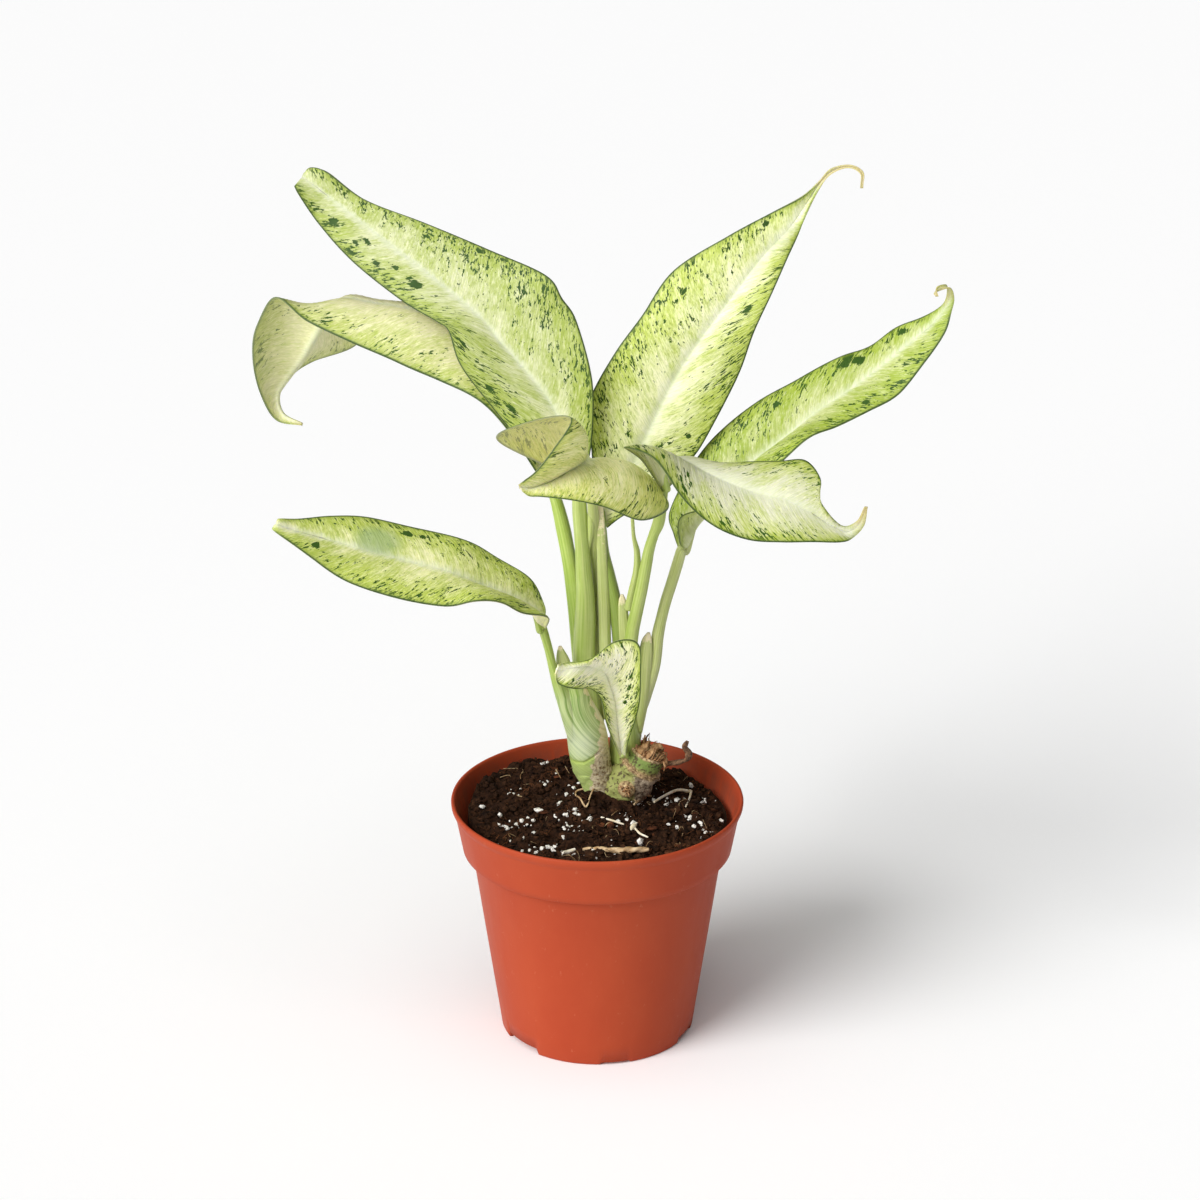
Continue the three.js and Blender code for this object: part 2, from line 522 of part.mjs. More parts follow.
const leftRows = [...LEFT_STALKS, LEFT_SHEATH, ...LEFT_TIPS];
const rightRows = [...RIGHT_STALKS, RIGHT_SHEATH, ...RIGHT_TIPS];
const caneRows = [CANE_TOP, CANE, BUD, SPROUT, ...ROOTS];
const build = (rows, grow) => joined(rows.map((row) => tube(row, 2 * row.length - 2, grow)));
const knob = (grow) => wasm.Manifold.sphere(1, 14).scale(KNOB[1].map((q) => q + grow)).translate(KNOB[0]);

const cane = build(caneRows, 0).add(knob(0));
const caneRoom = build(caneRows, GAP).add(knob(GAP));
const leftWhole = build(leftRows, 0);
const leftRoom = build(leftRows, GAP);
const leftShoot = largest(leftWhole.subtract(caneRoom));
const rightShoot = largest(build(rightRows, 0).subtract(caneRoom).subtract(leftRoom));
const rightRoom = build(rightRows, GAP);

const group = new THREE.Group();
group.name = 'potted_dieffenbachia';
group.add(mesh('pot', makePot(), { color: 0xb9502f, roughness: 0.45, metalness: 0 }));
const soil = makeSoil(joined([caneRoom, leftRoom, rightRoom]));
group.add(mesh('soil', soil, { color: 0x2b211b, roughness: 0.95, metalness: 0 }));
group.add(mesh('old_cane', cane, { color: 0xa9a778, roughness: 0.7, metalness: 0 }));
group.add(mesh('left_shoot', leftShoot, { color: 0xa9c36a, roughness: 0.5, metalness: 0 }));
group.add(mesh('right_shoot', rightShoot, { color: 0x9dba62, roughness: 0.5, metalness: 0 }));
const shootRoom = leftRoom.add(rightRoom);
for (const name of Object.keys(LEAVES)) {
  const blade = largest(makeBlade(name).subtract(shootRoom));
  group.add(mesh(name, blade, { color: 0xcfdc9b, roughness: 0.45, metalness: 0 }));
}

export default group;
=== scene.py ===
import functools
import math
import bpy
import numpy as np
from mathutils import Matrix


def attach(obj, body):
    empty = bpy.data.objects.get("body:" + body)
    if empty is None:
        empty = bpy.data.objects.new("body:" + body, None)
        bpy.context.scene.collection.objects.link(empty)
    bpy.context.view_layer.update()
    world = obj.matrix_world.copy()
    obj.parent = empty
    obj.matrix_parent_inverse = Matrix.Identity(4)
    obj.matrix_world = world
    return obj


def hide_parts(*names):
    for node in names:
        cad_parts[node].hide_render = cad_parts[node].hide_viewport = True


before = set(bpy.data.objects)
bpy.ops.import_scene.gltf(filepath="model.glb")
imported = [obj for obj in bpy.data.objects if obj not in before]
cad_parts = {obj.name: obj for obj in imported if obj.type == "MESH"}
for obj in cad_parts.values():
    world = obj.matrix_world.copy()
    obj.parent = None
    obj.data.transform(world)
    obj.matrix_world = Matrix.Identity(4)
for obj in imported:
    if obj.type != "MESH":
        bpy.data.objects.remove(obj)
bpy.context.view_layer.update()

mm = 0.001


# A screen colour (sRGB, hex) turned linear: a channel c up to 0.04045 becomes c / 12.92, one
# above it ((c + 0.055) / 1.055) to the power 2.4.
def linear(code):
    value = np.array([int(code[i:i + 2], 16) for i in (1, 3, 5)]) / 255
    value = np.where(value <= 0.04045, value / 12.92, ((value + 0.055) / 1.055) ** 2.4)
    return (*[float(q) for q in value], 1.0)


# Sets a node's inputs by socket name or number: links, hex colours or plain values.
def feed(tree, node, inputs):
    for key, value in inputs.items():
        if isinstance(value, bpy.types.NodeSocket):
            tree.links.new(value, node.inputs[key])
        else:
            node.inputs[key].default_value = linear(value) if isinstance(value, str) else value


# Adds a node with its settings, inputs and ramp stops (place, grey); gives one of its outputs.
def addNode(tree, kind, inputs, out=0, stops=(), **settings):
    node = tree.nodes.new("ShaderNode" + kind)
    for key, value in settings.items():
        setattr(node, key, value)
    feed(tree, node, inputs)
    for i, (place, grey) in enumerate(stops):
        node.color_ramp.elements[i].position = place
        node.color_ramp.elements[i].color = (grey, grey, grey, 1)
    return node.outputs[out]


# A new material, the function that adds nodes to it and the one that sets its shader's inputs.
def newMaterial(name, inputs=None):
    material = bpy.data.materials.new(name)
    material.use_nodes = True
    tree = material.node_tree
    shader = tree.nodes["Principled BSDF"]
    feed(tree, shader, inputs or {})
    return material, functools.partial(addNode, tree), functools.partial(feed, tree, shader)


# Catmull-Rom curve through rows of numbers at places t from 0 to 1, all at once: between rows
# b and c, with a before and d after them, a cubic in f, the share of the way from b to c.
def through(rows, t):
    rows = np.asarray(rows, float)
    padded = np.vstack([2 * rows[0] - rows[1], rows, 2 * rows[-1] - rows[-2]])
    at = np.clip(np.asarray(t, float), 0, 1) * (len(rows) - 1)
    i = np.minimum(at.astype(int), len(rows) - 2)
    f = (at - i)[..., None]
    a, b, c, d = padded[i], padded[i + 1], padded[i + 2], padded[i + 3]
    bend = (2 * a - 5 * b + 4 * c - d) * f ** 2 + (3 * b - 3 * c + d - a) * f ** 3
    return 0.5 * (2 * b + (c - a) * f + bend)


# Vectors divided by their lengths.
def unit(vectors):
    return vectors / np.maximum(np.linalg.norm(vectors, axis=-1, keepdims=True), 1e-9)


# Distance along a line of points: the sum of the steps before each.
def runAlong(points):
    return np.concatenate([[0], np.cumsum(np.linalg.norm(np.diff(points, axis=0), axis=1))])


# Quads of a grid of rows by columns; wrap joins the last column to the first.
def gridFaces(rows, columns, wrap=False):
    across = columns if wrap else columns - 1
    i, j = np.meshgrid(np.arange(rows - 1), np.arange(across), indexing="ij")
    a = i * columns + j
    b = i * columns + (j + 1) % columns
    return np.stack([a, b, b + columns, a + columns], -1).reshape(-1, 4)


# Faces of a closed skin of rings: quads between the rings and, at either end, a fan to one of
# the two points that come after them; turned over, they face the other way.
def ringFaces(rings, sides, turnedOver=False):
    ends, last = rings * sides, (rings - 1) * sides
    j = np.arange(sides)
    k = (j + 1) % sides
    quads = gridFaces(rings, sides, True)
    fans = np.vstack([np.stack([np.full(sides, ends), k, j], -1),
                      np.stack([np.full(sides, ends + 1), last + j, last + k], -1)])
    if turnedOver:
        quads, fans = quads[:, ::-1], fans[:, [0, 2, 1]]
    return {"quads": quads, "tris": fans}


# A surface is a dictionary: co (n,3) in mm, quads, tris, uv (n,2) in mm and point values by name.
# A tube has rings round the curve through its rows (x, y, z, radius): a ring's point is the
# curve's plus radius * shape(place along, turn) * (cos(turn) side + sin(turn) other).
def tubeSurface(rows, steps, sides, shape=None, **values):
    t = np.linspace(0, 1, steps)
    line = through(rows, t)
    near, thinnest, sideways = 0.01, 0.25, [0, 1, 0.2]
    ahead, behind = through(rows, np.minimum(t + near, 1)), through(rows, np.maximum(t - near, 0))
    axis = unit(ahead[:, :3] - behind[:, :3])
    side = unit(np.cross(axis, sideways))
    other = np.cross(axis, side)
    turn = np.linspace(0, 2 * np.pi, sides, endpoint=False)
    out = np.cos(turn)[None, :, None] * side[:, None] + np.sin(turn)[None, :, None] * other[:, None]
    radius = np.maximum(line[:, 3], thinnest)[:, None] * np.ones(sides)[None]
    if shape is not None:
        radius = radius * shape(t[:, None], turn[None, :])
    ring = line[:, None, :3] + out * radius[..., None]
    co = np.vstack([ring.reshape(-1, 3), line[:1, :3], line[-1:, :3]])
    run = runAlong(line[:, :3])
    u, w = np.meshgrid(run, turn * line[:, 3].mean(), indexing="ij")
    uv = np.vstack([np.stack([u, w], -1).reshape(-1, 2), [[0, 0], [run[-1], 0]]])
    points = {"along": np.concatenate([np.repeat(t, sides), [0, 1]])}
    points.update({key: np.full(len(co), float(value)) for key, value in values.items()})
    return {**ringFaces(steps, sides), "co": co, "uv": uv, "values": points}


# A sheet from two grids, its outer and its inner face, with quads that close it round the
# edge; both faces get the same values, and "side" is 1 outside and 0 inside.
def shellSurface(outer, inner, uv, values):
    rows, columns = outer.shape[:2]
    n = rows * columns
    face = gridFaces(rows, columns)
    left = np.arange(rows - 1) * columns
    right = left + columns - 1
    foot = np.arange(columns - 1)
    head = (rows - 1) * columns + foot
    edges = [np.stack([left, left + columns, n + left + columns, n + left], -1),
             np.stack([right, n + right, n + right + columns, right + columns], -1),
             np.stack([foot, n + foot, n + foot + 1, foot + 1], -1),
             np.stack([head, head + 1, n + head + 1, n + head], -1)]
    doubled = {key: np.tile(value.ravel(), 2) for key, value in values.items()}
    doubled["side"] = np.repeat([1.0, 0.0], n)
    return {"co": np.vstack([outer.reshape(-1, 3), inner.reshape(-1, 3)]),
            "quads": np.vstack([face, n + face[:, ::-1]] + edges), "tris": np.zeros((0, 3), int),
            "uv": np.tile(uv.reshape(-1, 2), (2, 1)), "values": doubled}


# Several surfaces as one: each one's faces are numbered on from the points before it, and a
# value that a surface lacks is 0 there.
def joinSurfaces(surfaces):
    shift = np.cumsum([0] + [len(s["co"]) for s in surfaces[:-1]])
    joined = {key: np.vstack([s[key] for s in surfaces]) for key in ("co", "uv")}
    for key in ("quads", "tris"):
        joined[key] = np.vstack([s[key] + first for s, first in zip(surfaces, shift)])
    names = sorted({key for s in surfaces for key in s["values"]})
    joined["values"] = {key: np.concatenate([s["values"].get(key, np.zeros(len(s["co"]))) for s in surfaces])
                        for key in names}
    return joined


# Makes the Blender object: mm to metres, a UV map in metres and the point values as attributes.
def makePiece(name, surface, material, nodes=(), smooth=True):
    mesh = bpy.data.meshes.new(name)
    faces = surface["quads"].tolist() + surface["tris"].tolist()
    mesh.from_pydata((surface["co"] * mm).tolist(), [], faces)
    layer = mesh.uv_layers.new(name="flat")
    corner = np.zeros(len(mesh.loops), int)
    mesh.loops.foreach_get("vertex_index", corner)
    layer.data.foreach_set("uv", (surface["uv"][corner] * mm).ravel())
    for key, value in surface["values"].items():
        mesh.attributes.new(key, "FLOAT", "POINT").data.foreach_set("value", np.asarray(value, float))
    mesh.polygons.foreach_set("use_smooth", np.full(len(mesh.polygons), smooth))
    mesh.update()
    piece = bpy.data.objects.new(name, mesh)
    bpy.context.collection.objects.link(piece)
    mesh.materials.append(material)
    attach(piece, "root")
    if nodes:
        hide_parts(*nodes)
    print("made", name, len(mesh.polygons), "faces")


# Smooth bumps: a sum of sine waves in seeded random directions, wave lengths in mm.
def ripple(x, y, longest, shortest, count, seed):
    draw = np.random.default_rng(seed)
    length = longest * (shortest / longest) ** draw.random(count)
    turn = draw.random(count) * 2 * np.pi
    start = draw.random(count) * 2 * np.pi
    total = np.zeros_like(x)
    for size, angle, phase in zip(length, turn, start):
        total += size * np.sin(2 * np.pi * (x * np.cos(angle) + y * np.sin(angle)) / size + phase)
    return total / length.sum() * math.sqrt(count)


# Blades. Bow is how far the halves arch and waves how often the margin waves; flecks and green
# are how much of each there is, in patterns that the seed shifts; band is the whitish band's
# half width in mm; fade is how much of its own colour the back takes, rich and light the
# saturation and brightness of it all, the brightness being partly the leaf's own tone and partly
# painted light and shade: raised where the leaf lies in shade, lowered where it is in full light;
# gutter is the groove's depth in mm and the strength of the painted shade in it. Each blot: its
# place along the leaf and across it (-1 left margin, 1 right margin) and its size in mm; the haze
# likewise. Each station: midrib point, step to the left margin, step to the right margin, in mm.
leaves = {
    "leaf_upper_left": {
        "bow": 0.06, "waves": 4, "seed": 1.0, "flecks": 0.95, "green": 0.7, "band": 2.6,
        "ground": "#D2D6AE", "wash": "#A2B455", "back": "#F4EEB8", "fade": 0.5,
        "rich": 0.96, "light": 1.01, "gutter": 0.3,
        "blots": [[0.59, -0.42, 2.6], [0.67, -0.3, 1.6], [0.68, -0.55, 1.4], [0.64, -0.62, 1.6],
                  [0.62, -0.4, 1.3], [0.68, -0.82, 1.4], [0.64, 0.65, 1.4], [0.59, 0.9, 2],
                  [0.56, 0.93, 1.5], [0.28, -0.8, 2], [0.24, -0.7, 2.2], [0.34, -0.68, 1.6],
                  [0.73, -0.55, 2.4]],
        "stations": [
            [-6.6, 5.6, 203, -1.5, -1, 1, 2, -1, 2],
            [-7.4, 6.6, 208.5, -6, -4, 1.5, 2.5, -4, 3],
            [-9, 9, 219, -15, -1, 0, 7, -1.5, 2.5],
            [-16, 13, 235, -21.5, -1.5, 0.5, 14.5, -3, 8.5],
            [-27, 18, 248, -20.5, -2.5, 0.5, 20, -2.5, 15.5],
            [-34, 21, 255, -17.5, -3, 4.5, 22, -1.5, 16],
            [-41, 24, 263, -14.5, -3, -1, 23.5, -0.5, 15],
            [-58, 30, 276, -9.5, -3, -8.5, 21, 0, 9],
            [-77, 37, 289, -8, -2.5, -9.5, 17.5, -1, 4],
            [-91, 42, 299, -6, -1.5, -7.5, 10.5, -1, 1],
            [-100, 46, 305, -4.5, -4, -2, 6, -4, 5],
            [-103, 51, 305, -1.5, -2, -2.5, 2.5, -2, 4],
            [-100, 55, 301, -1.5, -1, -1.5, 2.5, -1, 2.5],
        ],
    },
    "leaf_far_left": {
        "bow": 0.14, "waves": 3, "seed": 2.0, "flecks": 0.4, "green": 0.3, "band": 2,
        "ground": "#CECCA4", "wash": "#B0B872", "back": "#F2F6C4", "fade": 0.2,
        "rich": 1.02, "light": 1.09, "gutter": 0.3,
        "blots": [],
        "stations": [
            [-17, 18, 203, -1.5, -2, 0.5, 1.5, 2, 0],
            [-24, 21, 222, -5.5, -10, 0.5, 3.5, 10, -1],
            [-34, 25, 240, -6.5, -12, -4.5, 4, 14, 0.5],
            [-47, 29, 254, -7.5, -11, -12, 4, 17, -2.5],
            [-62, 33, 262, -7, -11, -15.5, 2, 19, -8],
            [-78, 39, 263, -6.5, -12, -12, 2, 19, -10],
            [-91, 46, 262, -10.5, -12, -4, 8.5, 16, -9],
            [-99, 51, 249, -14.5, -6, 15, 12.5, 12, -9.5],
            [-105, 52, 238, -15, -8, 15.5, 2.5, 14, -6],
            [-110, 50, 232, -11, -10, 10.5, 0, 11, -3],
            [-114, 47, 226, -5.5, -6, 3, 0, 7, -1.5],
            [-112, 44, 220, -2.5, -3, -1, 0, 3, -0.5],
            [-105, 42, 217, 0, -1, 0, 0, 1, 0],
        ],
    },
    "leaf_upright": {
        "bow": 0.06, "waves": 4, "seed": 3.0, "flecks": 0.8, "green": 0.62, "band": 3.6,
        "ground": "#F0F1CC", "wash": "#BACB62", "back": "#F4EEB8", "fade": 0.5,
        "rich": 0.98, "light": 1.1, "gutter": 0.3,
        "blots": [[0.44, 0.58, 2], [0.4, 0.5, 1.2], [0.26, 0.7, 1.4], [0.23, 0.45, 1.3],
                  [0.58, -0.72, 1.6], [0.43, -0.68, 1.3], [0.45, -0.65, 1.3], [0.4, -0.65, 1.2]],
        "stations": [
            [1.2, 11.2, 193, -1.5, -1, 1, 2.4, 0, -3.5],
            [2.6, 11.3, 198, -3.5, -2, 2.5, 6.4, -3.3, -3.1],
            [9, 13, 206, -10.5, 1, 4.5, 15, 0.5, -3.5],
            [15, 15, 218, -17.5, 0.5, 8.5, 17.5, 0.5, -5],
            [20, 17, 228, -22, 0.5, 8.5, 18, 0, -7],
            [28, 21, 243, -22, 0.5, 7.5, 21, 0, -1],
            [37, 24, 256, -21.5, 0.5, 7, 17.5, -0.5, 1.5],
            [48, 28, 270, -21.5, 1, 8, 12.5, -0.5, 0],
            [58, 31, 283, -12.5, 0.5, 7, 7.5, -0.5, -2],
            [67, 33, 293, -7, 0.5, 4.5, 2.5, 0, -3.5],
            [73, 34, 302, -2.5, -3, 2, 1, -3, 0],
            [77, 35, 308, -0.5, -0.5, 0.5, 1, -0.5, 0],
            [81, 35, 312, -0.5, -0.5, 1, 0.5, -0.5, -0.5],
            [87, 34, 314, 0, -0.5, 0.5, -0.5, -0.5, -0.5],
            [91, 32, 312, 0.5, -0.5, 0.5, -0.5, -0.5, 0],
            [91, 31, 307, 0.5, 0, 0, -0.5, 0, 0],
        ],
    },
    "leaf_right": {
        "bow": 0.08, "waves": 5, "seed": 4.0, "flecks": 1, "green": 0.9, "band": 2.6,
        "ground": "#CED2A4", "wash": "#98AE4A", "back": "#B8C478", "fade": 0.3,
        "rich": 1.02, "light": 1.05, "gutter": 0.3,
        "blots": [[0.48, -0.85, 3], [0.5, -0.6, 3], [0.47, -0.72, 3], [0.61, -0.62, 2.4],
                  [0.35, -0.65, 1.8], [0.47, 0.75, 2]],
        "stations": [
            [30, 4, 183, -1.5, 0, 1, 1, -1, 1],
            [32, 5, 188, -5, 2, 0.5, -3.5, -5, 1],
            [35, 7, 193, -10, 5, 2, -6, -8, 5],
            [42, 9, 201, -11, 8, 5, -0.5, -13, 2],
            [53, 13, 212, -11.5, 9, 7, 4.5, -15, 2],
            [66, 17, 221, -9.5, 10, 10.5, 5.5, -16, 4.5],
            [77, 21, 229, -6, 11, 8.5, 6, -14, -1],
            [89, 25, 236, -3, 11, 8, 5.5, -13, -3],
            [99, 28, 243, -3.5, 10, 4.5, 6.5, -11, -5.5],
            [108, 30, 250, -3.5, 8, 4, 6.5, -8, -3],
            [116, 32, 256, -2.5, 4, 2.5, 5, -5, 0],
            [121, 33, 262, -1, 2, 1, 2.5, -2, 0],
            [123, 33, 267, -1, 1, 0, 1.5, -1, 0],
            [122, 31, 271, -0.5, 1, 1, 0.5, -1, 0.5],
            [118, 29, 271, 0, 0, 1, -0.5, 0, -1],
            [118, 28, 269, 0.5, 0, 0, -0.5, 0, 0],
        ],
    },
    "leaf_right_front": {
        "bow": 0.12, "waves": 3, "seed": 5.0, "flecks": 0.75, "green": 0.3, "band": 4,
        "ground": "#CCCDB4", "wash": "#B6C07A", "back": "#C8CC90", "fade": 0.35,
        "rich": 1.1, "light": 0.92, "gutter": 0.3,
        "blots": [],
        "stations": [
            [23, -10, 212, 1, 1, 0, -1, -1, 0.5],
            [23, -12, 218, 9, 9, -2, -8, -4.5, 7],
            [25, -15, 224, 11, 10, -5, -16, -9, 9],
            [30, -19, 225, 10.5, 10, -5, -11, -11, 5],
            [37, -24, 223, 9, 9, 0, -8.5, -12, -5],
            [45, -29, 221, 7.5, 8, 4.5, -6.5, -11, -10.5],
            [54, -33, 219, 7.5, 8, 8.5, -3.5, -9, -13],
            [63, -37, 218, 7, 8, 11.5, -1, -7, -12.5],
            [71, -40, 215, 4, 5, 10, 1.5, -5, -9],
            [78, -42, 211, -3.5, 3, 8, 3.5, -3, -5],
            [84, -43, 209, -2.5, 1, 2, 1.5, -1, -2],
            [88, -43, 212, -1, 0.5, 0.5, 1.5, -0.5, -0.5],
            [90, -43, 218, -0.5, 0, 0, 0.5, 0, 0],
        ],
    },
    "leaf_centre_front": {
        "bow": 0.18, "waves": 2, "seed": 6.0, "flecks": 0.6, "green": 0.72, "band": 3,
        "ground": "#E6E4B4", "wash": "#C6CA78", "back": "#CCC69C", "fade": 0.42,
        "rich": 1, "light": 1.22, "gutter": 0.3,
        "blots": [],
        "stations": [
            [-2, -1, 210, 1.5, -1, 0.5, -1.5, -1, 0.5],
            [-2, -4, 218, 19, 4, -10.5, -18, -8, 4.5],
            [-2, -9, 222, 25.5, 2, -15, -31.5, -9, 12.5],
            [-3, -16, 225, 27, -4, -16.5, -22.5, -12, 17],
            [-5, -23, 226, 20, -10, -16.5, -5, -14, 21],
            [-10, -31, 226, 11.5, -10, -9, -5, -13, 12.5],
            [-16, -38, 225, 6.5, -7, -4, -4, -8, 7],
            [-22, -44, 225, 3.5, -3, -2, -2, -3, 4],
            [-24.5, -46.4, 226, 2, -1, -2.5, -1, -1, 2],
            [-25.8, -47.6, 226.6, 0.8, -0.4, -1.2, -0.5, -0.4, 1],
        ],
    },
    "leaf_lower_left": {
        "bow": 0.1, "waves": 4, "seed": 7.0, "flecks": 0.8, "green": 0.8, "band": 2.6,
        "ground": "#E4E4B4", "wash": "#B0C058", "back": "#E8E2B4", "fade": 0.5,
        "rich": 0.97, "light": 1.15, "gutter": 0.3,
        "blots": [[0.73, -0.47, 2.4], [0.56, 0.73, 1.8], [0.53, 0.73, 1.6]], "haze": [0.61, 0.3, 6.5],
        "stations": [
            [-19, -6, 158, 1, -1, 0.5, -1, 1, 0],
            [-21, -8, 164, 3.5, -7, 2, 3, 7, -1],
            [-24, -9, 168, -1, -12, 2.5, 4.5, 9, -1.5],
            [-31, -12, 173, -1.5, -15, 3, 6.5, 10, 3],
            [-41, -16, 179, -1, -16, 0, 6.5, 12, 5.5],
            [-51, -20, 185, -1, -14, -6.5, 6, 13, 6],
            [-66, -24, 191, -2, -12, -9.5, 4, 11, 7.5],
            [-81, -28, 197, -3, -10, -8.5, 3, 9, 8],
            [-94, -31, 202, -2.5, -8, -4, 3, 6, 5.5],
            [-103, -34, 206, -2, -4, -2, 2, 3, 3],
            [-108, -36, 209, -1.5, -1, -1.5, 0.5, 1, 1.5],
            [-107, -31, 206, -0.5, -1, -0.5, 1, 1, 0.5],
        ],
    },
    "leaf_small_front": {
        "bow": 0.08, "waves": 2, "seed": 8.0, "flecks": 1.1, "green": 0.25, "band": 4,
        "ground": "#FAF8DA", "wash": "#CCD984", "back": "#F4EEB8", "fade": 0.5,
        "rich": 1.08, "light": 1.2, "gutter": 0,
        "blots": [[0.77, -0.6, 1.3], [0.33, 0.45, 1.2]],
        "stations": [
            [9, -1.4, 106.9, -1, -0.5, 0, 1, -0.5, 0],
            [8, -2.8, 112.1, -2, -3, 1.5, 3, -3, 2.5],
            [7, -6.6, 122.5, -4, -5, 2.5, 6.5, -5, 3],
            [6, -10.6, 132.9, -4.5, -7, 2.5, 9, -6, 3],
            [4, -14.6, 141.4, -5.5, -7, 0, 11, -5, 6.5],
            [2, -20, 148, -6.5, -6, -3.5, 12, -3, 12],
            [-2, -25, 152, -5.5, -5, -6, 8.5, -1, 9.5],
            [-7, -30, 154, -3.5, -4, -6, 5, 1, 2.5],
            [-12, -33, 154, -1.5, -2, -4, 1.5, 1, 2.5],
            [-14, -35, 155, -0.5, -1, -1, 0.5, 0, 2],
        ],
    },
}


# What all blades share, in mm where it is a length: the grid's steps, the thickness at the
# margin and what the middle adds, the rib below, spacing and relief of the side veins, their
# sweep to the tip for each mm outwards, and the margin's wave as a share of the half's width.
bladeBuild = {"steps": (140, 56), "margin": 0.45, "middle": 0.35, "rib": 1.5, "veinGap": 3.2,
              "veinRise": 0.07, "sweep": 0.75, "waveRise": 0.05}


# Stations with the way the blade faces there: the cross product of the direction across it and
# the direction along it.
def bladeRows(stations):
    rows = np.array(stations, float)
    mid = rows[:, :3]
    along = unit(np.vstack([mid[1:], mid[-1:]]) - np.vstack([mid[:1], mid[:-1]]))
    facing = unit(np.cross(unit(rows[:, 6:9] - rows[:, 3:6]), along))
    return np.hstack([rows, facing])


# The rows at u, the step to the margin that v is on the side of, and that step's length.
def bladeHalf(rows, u, v):
    line = through(rows, u)
    half = np.where((v < 0)[..., None], line[..., 3:6], line[..., 6:9])
    return line, half, np.linalg.norm(half, axis=-1)


# Blade point: midrib(u) + |v| times the step to that margin, lifted along its facing by
# width * (bow * 4|v|(1-|v|) + rise * v^2 * sin(2 pi waves u + phase)).
def bladePoint(leaf, rows, u, v):
    line, half, wide = bladeHalf(rows, u, v)
    s = np.abs(v)
    phase = np.where(v < 0, 0, 2)
    wave = bladeBuild["waveRise"] * s ** 2 * np.sin(2 * np.pi * leaf["waves"] * u + phase)
    lift = wide * (leaf["bow"] * 4 * s * (1 - s) + wave)
    return line[..., :3] + half * s[..., None] + unit(line[..., 9:12]) * lift[..., None]


# A blade: each face is its points moved along the normal by half the thickness; a sine ribs it
# along the side veins, a bell curve of the distance out makes the rounded rib below and the
# shallow gutter above. The flat map is the vein's foot on the midrib and the distance out.
def makeBlade(name, leaf, material):
    rows = bladeRows(leaf["stations"])
    along, across = bladeBuild["steps"]
    u, v = np.meshgrid(np.linspace(0, 1, along), np.linspace(-1, 1, across), indexing="ij")
    nearU, nearV = 0.003, 0.02
    du = (bladePoint(leaf, rows, np.minimum(u + nearU, 1), v)
          - bladePoint(leaf, rows, np.maximum(u - nearU, 0), v))
    dv = (bladePoint(leaf, rows, u, np.minimum(v + nearV, 1))
          - bladePoint(leaf, rows, u, np.maximum(v - nearV, -1)))
    point, normal = bladePoint(leaf, rows, u, v), unit(np.cross(dv, du))
    wide = bladeHalf(rows, u, v)[2]
    run = runAlong(through(rows, np.linspace(0, 1, along))[:, :3])
    s = np.abs(v)
    out = s * wide
    foot = run[:, None] - bladeBuild["sweep"] * out * (1 + 0.25 * s)
    # ribbing fades at the midrib, at the margin and where the blade is narrow; the rib at the tip
    ribbed = np.clip(out / 2, 0, 1) * np.clip((1 - s) * 6, 0, 1) * np.clip(wide / 8, 0, 1)
    ribbing = bladeBuild["veinRise"] * ribbed * np.sin(2 * np.pi * foot / bladeBuild["veinGap"])
    bell = np.exp(-(out / (0.5 + 1.3 * (1 - u) * np.clip(wide / 6, 0, 1))) ** 2)
    slim = np.clip(wide / 7, 0, 1)
    thick = bladeBuild["margin"] + bladeBuild["middle"] * slim * (1 - s)
    gutter = leaf["gutter"] * bell * np.clip((wide - 12) / 10, 0, 1)
    rib = bladeBuild["rib"] * (1 - 0.8 * u) * bell * (0.3 + 0.7 * slim)
    top = point + normal * (thick / 2 + ribbing - gutter)[..., None]
    under = point - normal * (thick / 2 - ribbing + rib)[..., None]
    blot = np.full(u.shape, -1.0)
    for place, turn, size in leaf["blots"]:
        far = np.hypot((u - place) * run[-1], v * wide - turn * wide) / size
        blot = np.maximum(blot, 1 - far)
    place, turn, size = leaf.get("haze", [0, 0, 0.1])
    haze = np.clip(1.4 - 1.4 * np.hypot((u - place) * run[-1], (v - turn) * wide) / size, 0, 0.7)
    values = {"along": u, "across": s, "wide": wide, "away": out, "blot": blot, "haze": haze}
    surface = shellSurface(top, under, np.stack([foot, out], -1), values)
    makePiece(name + "_blade", surface, material, [name])


